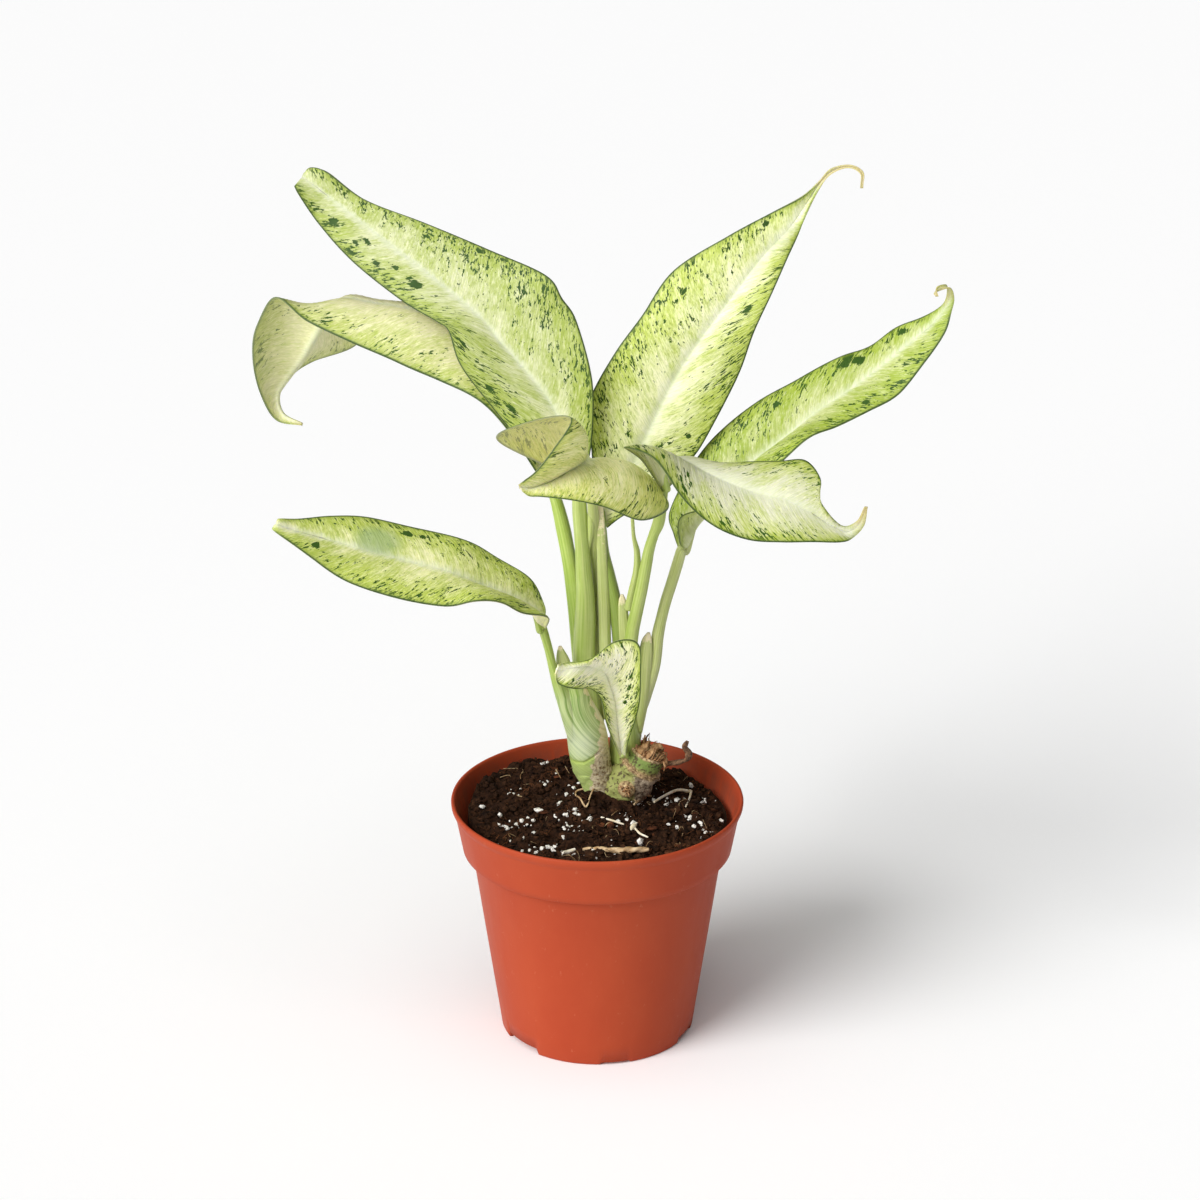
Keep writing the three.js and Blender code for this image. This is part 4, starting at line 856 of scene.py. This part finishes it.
# The cane: a young end with a torn rim on an old piece with a tan ring round its head and cork
# down its right side, both moved by ripples and the old one by a cosine along it for its rings;
# a bud scar with a raw middle; a dry sprout of uneven, twisted section.
def caneSurface(cane):
    young = tubeSurface(cane["young"], 60, 64, fresh=1)
    t = young["values"]["along"]
    young["values"]["raw"] = np.clip((0.08 - t) / 0.03, 0, 1)
    young["values"]["scar"] = np.clip(1 - np.abs(t - 0.1) / 0.09, 0, 1) + np.clip((t - 0.55) / 0.15, 0, 1)
    x, y, z = young["co"].T
    bump = ripple(x, y + z, 7, 2, 30, 12) * 0.12
    young["co"] = young["co"] + bump[:, None] * np.array([0.5, -0.5, 0.5])
    old = tubeSurface(cane["old"], 90, 72, fresh=0.35)
    x, y, z = old["co"].T
    t = old["values"]["along"]
    old["values"]["scar"] = np.clip((0.16 - t) / 0.06, 0, 1)
    old["values"]["corky"] = np.clip((x - 11) / 5, 0, 1) * np.clip((t - 0.08) * 12, 0, 1)
    bump = ripple(x, y + z, 6, 1.6, 40, 13) * cane["creases"]
    rings = cane["rings"] * np.cos(2 * np.pi * t * cane["ringCount"])
    old["co"] = old["co"] + unit(old["co"] - through(cane["old"], t)[:, :3]) * (bump + rings)[:, None]
    bud = tubeSurface(cane["bud"], 30, 32)
    t = bud["values"]["along"]
    bud["values"]["raw"] = np.clip((0.06 - t) / 0.04, 0, 1)
    bud["values"]["scar"] = np.clip((0.6 - t) / 0.2, 0, 0.9)
    sprout = tubeSurface(cane["sprout"], 60, 16, withered=1, shape=lambda s, turn: (
        0.95 + 0.25 * np.cos(2 * turn + 4 * s) + 0.15 * np.sin(23 * s)))
    return joinSurfaces([young, old, bud, sprout])


makePiece("cane", caneSurface(cane), caneMaterial(), ["old_cane"])
shootFoot = paintSheath(knobSurface(*cane["knob"]), frontSheath)
makePiece("shoot_foot", shootFoot, stalkSkin, ["old_cane"])


# Thin strands, all at once: each a three-sided tube round start + way t + curl 4t(1-t), thinner
# towards its end by 1 - 0.6 t.
def strandSurface(start, way, curl, size):
    steps, sides = 7, 3
    t = np.linspace(0, 1, steps)
    bow = (4 * t * (1 - t))[None, :, None]
    line = start[:, None] + way[:, None] * t[None, :, None] + curl[:, None] * bow
    axis = unit(np.gradient(line, axis=1))
    side = unit(np.cross(axis, np.array([0.3, 0.2, 0.93])))[:, :, None]
    other = np.cross(axis, side[:, :, 0])[:, :, None]
    turn = (np.arange(sides) * 2 * np.pi / sides)[:, None]
    out = np.cos(turn) * side + np.sin(turn) * other
    co = line[:, :, None] + out * (size[:, None] * (1 - 0.6 * t)[None])[..., None, None]
    co = co.reshape(-1, 3)
    each = steps * sides
    shift = (np.arange(len(start)) * each)[:, None, None]
    caps = np.array([[0, 2, 1], [each - 3, each - 2, each - 1]])
    return {"co": co, "quads": (gridFaces(steps, sides, True)[None] + shift).reshape(-1, 4),
            "tris": (caps[None] + shift).reshape(-1, 3), "uv": co[:, :2], "values": {}}


# A matt natural stuff of two colours mixed by grain; cell and relief are the grain's size and
# depth in mm, spread the grey values over which dark turns into light.
def grainMaterial(name, dark, light, rough, cell, relief=0.3, spread=(0.35, 0.65)):
    material, add, finish = newMaterial(name, {"Roughness": rough, "Specular IOR Level": 0.12})
    place = add("TexCoord", {}, "Object")
    grain = add("TexNoise", {"Vector": place, "Scale": 1 / (cell * mm), "Detail": 3, "Roughness": 0.6})
    shade = add("ValToRGB", {0: grain}, stops=[(spread[0], 0), (spread[1], 1)])
    skin = add("Mix", {0: shade, 6: dark, 7: light}, 2, data_type="RGBA")
    bump = add("Bump", {"Height": grain, "Distance": relief * mm, "Strength": 0.8})
    finish({"Base Color": skin, "Normal": bump})
    return material


# The cane's torn end, in mm: fine fibres round the rim, tallest near its middle, a few in the
# bud scar, and five broad strips of bark as rows (x, y, z, radius).
tornEnd = {
    "middle": (18.2, 4.5, 105.2), "across": (5.6, 5.8), "count": 64, "bud": (10.5, -4.6, 94.9),
    "inBud": 14, "seed": 11,
    "strips": [[[13.6, 2.4, 104.4, 0.8], [15, 1.8, 107, 1], [17.2, 2, 109.4, 0.8], [18.6, 2.4, 111, 0.3]],
               [[15.6, 0.6, 103.6, 0.8], [17.4, 0, 106, 0.9], [19.6, 0.4, 108, 0.7], [20.8, 1, 109.8, 0.3]],
               [[22.2, 2, 103.2, 0.8], [24, 1.2, 104.2, 0.8], [24.4, 0.8, 102, 0.6], [23.8, 0.8, 100, 0.3]],
               [[19.5, 5.5, 105, 0.8], [20.6, 5.2, 107.4, 0.9], [22.6, 5, 107.6, 0.7], [23.8, 5, 106.2, 0.3]],
               [[12.8, 3.4, 104.6, 0.7], [14, 3, 106, 0.8], [16.2, 3, 106.4, 0.7], [17.6, 3.2, 105.6, 0.3]]],
}


# Fibres start on the outer part of the slanting oval, turn drawn evenly and reach as a root, and
# rise by a bell curve of x; those of the bud start and end round its middle. The strips are
# tubes flattened by 1 + 0.5 cos(2 turn + 3 t).
def tornSurface(torn):
    draw = np.random.default_rng(torn["seed"])
    count, inBud = torn["count"], torn["inBud"]
    turn = draw.random(count) * 2 * np.pi
    reach = np.sqrt(draw.random(count) * 0.35 + 0.65)
    x = torn["across"][0] * reach * np.cos(turn)
    y = torn["across"][1] * reach * np.sin(turn)
    start = np.stack([x, y, -0.21 * x], -1) + torn["middle"]
    tall = (1.5 + 4.5 * draw.random(count) ** 2) * (0.5 + 0.8 * np.exp(-((x + 0.5) / 2.5) ** 2))
    way = np.stack([draw.normal(0.8, 1.0, count), draw.normal(-0.4, 0.8, count), tall], -1)
    curl = draw.normal(0, 0.6, (count, 3))
    budStart = np.array(torn["bud"]) + draw.normal(0, 0.9, (inBud, 3)) * [1, 0.1, 0.8]
    budWay = draw.normal(0, 0.9, (inBud, 3)) + [0, -0.8, 0.2]
    budCurl = draw.normal(0, 0.4, (inBud, 3))
    size = 0.22 + 0.65 * draw.random(count + inBud) ** 2
    fibres = strandSurface(np.vstack([start, budStart]), np.vstack([way, budWay]),
                           np.vstack([curl, budCurl]), size)
    strips = [tubeSurface(rows, 30, 14, lambda t, turn: 1 + 0.5 * np.cos(2 * turn + 3 * t))
              for rows in torn["strips"]]
    return joinSurfaces([fibres] + strips)


# wood fibre torn off and dried in the air: light brown with dark gaps, matt
fibreSkin = grainMaterial("torn_brown_fibre", "#704628", "#D0A678", 0.8, 1.67)
makePiece("torn_fibres", tornSurface(tornEnd), fibreSkin)


# Soil, in mm: its level and slopes in the middle; the fall near the wall (how much, from which
# radius, for each how many mm outwards); mounds (x, y, height, spread); lumps (radians per mm of
# x and of y, phase, height); its top's radius; the section (radius, height) down the wall and in.
soil = {
    "level": 84.6, "slope": (-0.05, 0.015), "fall": (1.2, 40, 8),
    "mounds": [[4, 5, 5.4, 380], [-17, 17, 2.2, 110], [-5, -2, 3, 34]],
    "lumps": [[0.43, -0.37, 2, 0.6], [0.3, 0.71, 0, 0.4]],
    "top": 46.4,
    "wall": [[46.6, 82], [46.4, 77.5], [46.2, 73.6], [43.5, 72.3], [43.2, 70], [32.8, 3.4], [31.6, 2.5]],
}


# Height of the soil: a slope, a bell height * exp(-distance^2 / spread) for each mound, a
# sine for each lump, one long swell, and the fall, linear in the radius beyond its start.
def soilHeight(x, y):
    z = soil["level"] + soil["slope"][0] * x + soil["slope"][1] * y
    for middleX, middleY, high, spread in soil["mounds"]:
        z = z + high * np.exp(-((x - middleX) ** 2 + (y - middleY) ** 2) / spread)
    for perX, perY, phase, high in soil["lumps"]:
        z = z + high * np.sin(perX * x + perY * y + phase)
    fall, begin, over = soil["fall"]
    swell = 0.9 * np.sin(0.21 * x + 0.9) * np.cos(0.19 * y - 0.4)
    return z + swell - fall * np.maximum(0, (np.hypot(x, y) - begin) / over)


# Soil: rings from the middle to the wall at the soil's height plus coarse and fine ripples,
# then the section's rings down the wall and in again under the floor of soil.
def soilSurface(soil):
    sides = 220
    turn = np.linspace(0, 2 * np.pi, sides, endpoint=False)
    radii = np.linspace(0.4, soil["top"], 110)[:, None]
    x, y = radii * np.cos(turn), radii * np.sin(turn)
    z = soilHeight(x, y) + ripple(x, y, 8, 2.4, 60, 3) * 0.6 + ripple(x, y, 2.4, 0.9, 60, 4) * 0.2
    wallR, wallZ = np.array(soil["wall"], float).T[..., None]
    down = np.stack(np.broadcast_arrays(wallR * np.cos(turn), wallR * np.sin(turn), wallZ), -1)
    grid = np.vstack([np.stack([x, y, z], -1), down])
    co = np.vstack([grid.reshape(-1, 3), [[0, 0, z[0].mean()], [0, 0, wallZ[-1, 0]]]])
    return {**ringFaces(len(grid), sides, True), "co": co, "uv": co[:, :2], "values": {}}


# Many small lumps: one icosahedron (g is the golden ratio) for each, its corners moved in and
# out by a draw, stretched in each direction by another, turned about z and put in its place.
def lumpSurface(place, size, seed, flatness=0.75):
    draw = np.random.default_rng(seed)
    g = (1 + 5 ** 0.5) / 2
    corners = unit(np.array([[-1, g, 0], [1, g, 0], [-1, -g, 0], [1, -g, 0], [0, -1, g], [0, 1, g],
                             [0, -1, -g], [0, 1, -g], [g, 0, -1], [g, 0, 1], [-g, 0, -1], [-g, 0, 1]]))
    tris = np.array([[0, 11, 5], [0, 5, 1], [0, 1, 7], [0, 7, 10], [0, 10, 11], [1, 5, 9], [5, 11, 4],
                     [11, 10, 2], [10, 7, 6], [7, 1, 8], [3, 9, 4], [3, 4, 2], [3, 2, 6], [3, 6, 8],
                     [3, 8, 9], [4, 9, 5], [2, 4, 11], [6, 2, 10], [8, 6, 7], [9, 8, 1]])
    count = len(place)
    shape = corners[None] * (0.75 + 0.5 * draw.random((count, 12, 1)))
    shape = shape * (size[:, None] * (0.6 + 0.8 * draw.random((count, 3))) * [1, 1, flatness])[:, None]
    turn = draw.random(count) * 2 * np.pi
    c, s = np.cos(turn)[:, None], np.sin(turn)[:, None]
    x = shape[..., 0] * c - shape[..., 1] * s
    y = shape[..., 0] * s + shape[..., 1] * c
    co = (np.stack([x, y, shape[..., 2]], -1) + place[:, None]).reshape(-1, 3)
    faces = (tris[None] + (np.arange(count) * 12)[:, None, None]).reshape(-1, 3)
    return {"co": co, "quads": np.zeros((0, 4), int), "tris": faces, "uv": co[:, :2], "values": {}}


# Places on the soil, drawn evenly over the ring from inner to outer: the radius is the root of a
# draw between their squares. Gives the draw too, for the sizes.
def scatter(look):
    draw = np.random.default_rng(look["seed"])
    inner, outer = look["ring"]
    r = np.sqrt(inner ** 2 + (outer ** 2 - inner ** 2) * draw.random(look["count"]))
    turn = draw.random(look["count"]) * 2 * np.pi
    x, y = r * np.cos(turn), r * np.sin(turn)
    return np.stack([x, y, soilHeight(x, y) + look["above"]], -1), draw


# peat, dug, screened and kept moist: almost black, brown where it is fibrous, no shine
soilSkin = grainMaterial("moist_peat_mix", "#110905", "#3C2415", 0.95, 1.43, 0.6, (0.3, 0.75))
makePiece("soil_bed", soilSurface(soil), soilSkin, ["soil"])

# crumbs of peat: how many, over which ring, how far above the soil, their least size and range
crumbs = {"count": 3200, "ring": (3, 45.4), "seed": 21, "above": 0.3, "least": 0.3, "range": 1.2}
# the same peat, drier at the surface: a little lighter
crumbSkin = grainMaterial("peat_crumbs", "#140B06", "#4A2F1D", 0.95, 3.85, 0.4, (0.35, 0.75))
place, draw = scatter(crumbs)
size = crumbs["least"] + crumbs["range"] * draw.random(crumbs["count"]) ** 3
makePiece("soil_crumbs", lumpSurface(place, size, 22), crumbSkin, smooth=False)

# white grains of perlite: some large ones where they lie (x, y, size), the rest in loose
# clusters, as many as the count; none beyond the edge
perlite = {
    "large": [[-13.4, -1.3, 1.2], [-6.6, 11, 1.1], [-21.2, -6.2, 1.6], [-2.6, -10.7, 0.9],
              [-12.1, -22.4, 1], [25.3, -10.3, 1], [28.4, -11.4, 1.1], [32.9, -4, 0.8], [37.1, -7.9, 1],
              [44.1, -2.8, 1.2], [34.2, 22.4, 1.1], [28.8, 8.3, 1.2], [15.1, -23.9, 1.9],
              [12.7, -14.1, 0.9], [-26.8, -12.7, 1.3], [-28.9, -14.4, 1.1], [-24.7, -9.5, 1],
              [-41.4, -0.1, 1.2], [-34.7, -9.2, 0.9]],
    "count": 24, "inCluster": 11, "spread": 2.2, "ring": (10, 42), "seed": 31, "above": 0, "edge": 45,
    "least": 0.2, "range": 0.8,
}
# volcanic glass puffed up by heat: chalky white, rough and dull
perliteSkin = grainMaterial("perlite_grains", "#D6D1C6", "#F8F5EF", 0.9, 0.667)
place, draw = scatter(perlite)
small = perlite["count"] * perlite["inCluster"]
place = np.repeat(place, perlite["inCluster"], 0) + draw.normal(0, perlite["spread"], (small, 3)) * [1, 1, 0]
large = np.array(perlite["large"])
place = np.vstack([place[:, :2], large[:, :2]])
place = place * np.minimum(1, perlite["edge"] / np.hypot(*place.T))[:, None]
place = np.column_stack([place, soilHeight(*place.T) + 0.5])
size = np.append(perlite["least"] + perlite["range"] * draw.random(small) ** 2.2, large[:, 2])
makePiece("perlite", lumpSurface(place, size, 32, 0.8), perliteSkin, smooth=False)

# flat chips of bark, the last one large and at its own place
bark = {"count": 26, "ring": (12, 44), "seed": 41, "above": 0.6, "least": 0.8, "range": 1.3,
        "large": [4.6, -14.4, 86.1], "largeSize": 2.4, "flatness": 0.25}
# bark, chipped and composted: reddish brown, dull
barkSkin = grainMaterial("bark_chips", "#30190F", "#6E4028", 0.85, 3.33)
place, draw = scatter(bark)
size = np.append(bark["least"] + bark["range"] * draw.random(bark["count"]), bark["largeSize"])
chips = lumpSurface(np.vstack([place, bark["large"]]), size, 42, bark["flatness"])
makePiece("bark_chips", chips, barkSkin, smooth=False)

# fibres lying about: the spread of how far they reach along the soil and bend there, their
# arch's least height and spread, and the least radius
fibres = {
    "soil_fibres": {"count": 1500, "ring": (5, 44.5), "seed": 51, "above": 0.7, "reach": 1.5, "bend": 0.5,
                    "arch": (0.2, 0.5), "thin": 0.07},
    "straw_fibres": {"count": 46, "ring": (10, 43), "seed": 61, "above": 0.8, "reach": 3, "bend": 1.2,
                     "arch": (0.3, 0.7), "thin": 0.09},
}
# peat moss fibres, brown where they are moist and straw coloured where they have dried
fibreSkins = {
    "soil_fibres": grainMaterial("dark_peat_fibres", "#2E1B11", "#75492C", 0.9, 11.1, spread=(0.45, 0.7)),
    "straw_fibres": grainMaterial("pale_peat_fibres", "#8A6A45", "#CDB48C", 0.85, 5),
}
for name, look in fibres.items():
    place, draw = scatter(look)
    leastArch, archSpread = look["arch"]
    way = draw.normal(0, 1, (3, look["count"])).T * [look["reach"], look["reach"], 0.5]
    curl = draw.normal(0, 1, (3, look["count"])).T * [look["bend"], look["bend"], archSpread]
    curl[:, 2] = leastArch + np.abs(curl[:, 2])
    size = look["thin"] + 0.1 * draw.random(look["count"])
    makePiece(name, strandSurface(place - way / 2, way, curl, size), fibreSkins[name])

# roots on the soil: x, y and radius; each lies a little above the soil's height there, the one
# in front at its own heights
soilRoots = {
    "white": [[[20.4, 2.5, 0.45], [24.1, 8, 0.5], [29, 15.2, 0.55], [34.2, 19.1, 0.5]],
              [[34.2, 19.1, 0.5], [33.4, 10, 0.4], [31.8, 1, 0.3]],
              [[1.3, -11.3, 0.3], [5.2, -12.7, 0.4], [9.5, -14.1, 0.3]],
              [[12, -20.1, 0.3], [12.7, -17.6, 1], [14.1, -15.3, 0.3]],
              [[13, -18, 0.4], [15.1, -20.8, 0.4], [18, -22.5, 0.3]],
              [[-12.3, -35.5, 0.6], [-10.3, -33.2, 0.8], [-7.8, -31.7, 0.5]]],
    "tan": [[[-1, 5, 0.35], [-7, 4, 0.35], [-7.7, 1, 0.3], [-6.2, -5.2, 0.3], [-4, -7.7, 0.35],
             [-2.4, -4, 0.3], [-0.8, 3.1, 0.35]],
            [[13.2, -4, 0.4], [16.9, 3.7, 0.5], [19.4, 6, 0.4]]],
    "front": [[-5, -32, 84.9, 0.6], [0, -33, 85.4, 1], [7, -33.4, 85.2, 1], [12, -33, 85.2, 1.1],
              [18, -31.5, 84.6, 0.8]],
    "above": 1.2,
}


# A root's rows with z put in: the soil's height there plus the height above it.
def layOnSoil(row):
    x, y, size = np.array(row).T
    return np.column_stack([x, y, soilHeight(x, y) + soilRoots["above"], size])


# roots, grown: the living ones creamy white and slightly waxy, the old ones tan and dry
whiteSkin = grainMaterial("white_roots", "#DCCBA8", "#FBF3E2", 0.6, 2.86)
tanSkin = grainMaterial("tan_roots", "#A38058", "#DEC49C", 0.7, 2.86)
for key, skin in (("white", whiteSkin), ("tan", tanSkin)):
    laid = [tubeSurface(layOnSoil(row), 40, 10) for row in soilRoots[key]]
    makePiece(key + "_roots", joinSurfaces(laid), skin)
knotty = tubeSurface(soilRoots["front"], 90, 16, lambda s, turn: 1 + 0.16 * np.sin(31 * s + 2 * turn))
makePiece("front_root", knotty, tanSkin)


# Nursery pot, in mm: its section (radius, height) from the foot's middle out, up the wall, round
# the rim and down inside; which rows are the foot's edge and from which one it is the inside;
# notches in the foot's edge: middle and half width in degrees from the front, height.
pot = {
    "section": [[20, 0], [29.4, 0], [29.6, 0], [34.2, 0], [34.8, 0.25], [35.1, 0.9], [36.1, 8], [40.3, 37],
                [45.2, 71.2], [45.35, 71.5], [48.3, 71.5], [48.5, 71.7], [48.9, 73.8], [51.1, 85.6],
                [51.3, 86.2], [52, 87.2], [52.4, 88.2], [52.5, 89.3], [52.35, 89.8], [51.9, 90],
                [51.3, 89.8], [51, 89], [49.9, 86], [47.3, 73.1], [47, 72.8], [44.1, 72.1], [43.8, 71.6],
                [33.9, 3], [33.2, 2.1], [20, 2]],
    "footRows": (2, 6), "insideFrom": 22, "meanRadius": 45,
    "notches": [[10.5, 8.5, 1.1], [-52, 14, 2.5], [66, 9, 2.3], [-100, 9, 1.1], [118, 12, 2.5],
                [170, 12, 2.3], [-150, 12, 2.5]],
}


# The section turned round its axis: x = r cos(turn), y = r sin(turn); within a notch the foot's
# edge is lifted to the notch's height.
def potSurface(pot):
    sides = 288
    section = np.array(pot["section"], float)
    turn = np.linspace(0, 2 * np.pi, sides, endpoint=False)
    r, z = section.T[..., None]
    lift = np.zeros(sides)
    for middle, half, high in pot["notches"]:
        gap = np.abs(np.angle(np.exp(1j * (turn - np.radians(middle - 90)))))
        lift = np.maximum(lift, high * (gap < np.radians(half)))
    row = np.arange(len(section))
    isFoot = (row >= pot["footRows"][0]) & (row < pot["footRows"][1])
    z = np.where(isFoot[:, None], np.maximum(z, lift), z)
    grid = np.stack(np.broadcast_arrays(r * np.cos(turn), r * np.sin(turn), z), -1)
    co = np.vstack([grid.reshape(-1, 3), [[0, 0, 0], [0, 0, section[-1, 1]]]])
    uv = np.stack(np.broadcast_arrays(turn * pot["meanRadius"], z), -1).reshape(-1, 2)
    inside = np.append(np.repeat(row >= pot["insideFrom"], sides), [False, False])
    return {**ringFaces(len(section), sides), "co": co, "uv": np.vstack([uv, uv[:2]]),
            "values": {"inside": inside.astype(float)}}


# Injection-moulded polypropylene, terracotta orange, satin; fine orange peel, dust and
# soil smears, darker and damp inside.
def potMaterial():
    material, add, finish = newMaterial("terracotta_orange_plastic")
    place = add("TexCoord", {}, "Object")
    inside = add("Attribute", {}, "Fac", attribute_name="inside")

    # each pattern: size of its cells in mm round the pot and up it, its detail and roughness; the
    # peel is drawn coarser than the real one, to show
    sizes = {"cloud": (35.7, 55.6, 4, 0.6), "drip": (3.85, 45.5, 4, 0.6), "dust": (2.38, 4.17, 4, 0.7),
             "peel": (0.714, 0.714, 2, 0.5)}
    grey = {}
    for key, (across, up, detail, rough) in sizes.items():
        scale = (1 / (across * mm), 1 / (across * mm), 1 / (up * mm))
        at = add("Mapping", {"Vector": place, "Scale": scale})
        grey[key] = add("TexNoise", {"Vector": at, "Scale": 1, "Detail": detail, "Roughness": rough})
    patch = add("ValToRGB", {0: grey["cloud"]}, stops=[(0.3, 0), (0.75, 1)])
    skin = add("Mix", {0: patch, 6: "#A64228", 7: "#AF4B2D"}, 2, data_type="RGBA")
    dust = add("ValToRGB", {0: grey["dust"]}, stops=[(0.64, 0), (0.8, 0.35)])
    damp = add("ValToRGB", {0: grey["drip"]}, stops=[(0.35, 0.05), (0.6, 0.5)])
    damp = add("Math", {0: damp, 1: inside}, operation="MULTIPLY")
    for share, colour in ((dust, "#CF8A6A"), (damp, "#7C4636")):
        skin = add("Mix", {0: share, 6: skin, 7: colour}, 2, data_type="RGBA")
    gloss = add("Math", {0: grey["drip"], 1: 0.2, 2: 0.36}, operation="MULTIPLY_ADD")
    grain = add("Bump", {"Height": grey["peel"], "Distance": 0.08 * mm, "Strength": 0.4})
    finish({"Base Color": skin, "Roughness": gloss, "Normal": grain, "IOR": 1.49,
            "Specular IOR Level": 0.08})
    return material


makePiece("pot_shell", potSurface(pot), potMaterial(), ["pot"])


# Plain pale floor, soft studio light and the camera at the photograph's angle. The floor's half
# width and the camera's place are in metres, its tilt in degrees up from straight down, its
# sensor and lens in mm. Each lamp: its power, the direction that it shines from and how many
# degrees wide it looks.
studio = {
    "floorHalf": 30, "skyLight": 0.13,
    "lamps": {"key": (3.2, (-0.66, -0.58, 0.5), 40), "top": (1.2, (-0.1, -0.35, 0.94), 60)},
    "sensor": 36, "lens": 108.45, "camera": (0.00097, -1.17336, 0.64966), "tilt": 67.62,
}
half = studio["floorHalf"]
floorMesh = bpy.data.meshes.new("floor")
floorMesh.from_pydata([(-half, -half, 0), (half, -half, 0), (half, half, 0), (-half, half, 0)], [],
                      [(0, 1, 2, 3)])
floor = bpy.data.objects.new("floor", floorMesh)
bpy.context.collection.objects.link(floor)
# matt painted board: plain white
floorMesh.materials.append(newMaterial("studio_floor", {"Base Color": "#FFFFFF", "Roughness": 0.9})[0])

world = bpy.data.worlds.new("studio")
bpy.context.scene.world = world
world.use_nodes = True
sky = world.node_tree.nodes["Background"]
sky.inputs["Color"].default_value = (1, 1, 1, 1)
sky.inputs["Strength"].default_value = studio["skyLight"]
for name, (power, (x, y, z), softness) in studio["lamps"].items():
    lamp = bpy.data.lights.new(name, "SUN")
    lamp.energy = power
    lamp.angle = math.radians(softness)
    light = bpy.data.objects.new(name, lamp)
    light.rotation_euler = (math.atan2(math.hypot(x, y), z), 0, math.atan2(x, -y))
    bpy.context.collection.objects.link(light)

lens = bpy.data.cameras.new("camera")
lens.sensor_width = studio["sensor"]
lens.lens = studio["lens"]
lens.clip_end = 100
camera = bpy.data.objects.new("camera", lens)
camera.location = studio["camera"]
camera.rotation_euler = (math.radians(studio["tilt"]), 0, 0)
bpy.context.collection.objects.link(camera)
bpy.context.scene.camera = camera
bpy.context.scene.view_settings.view_transform = "Standard"
print("studio set")

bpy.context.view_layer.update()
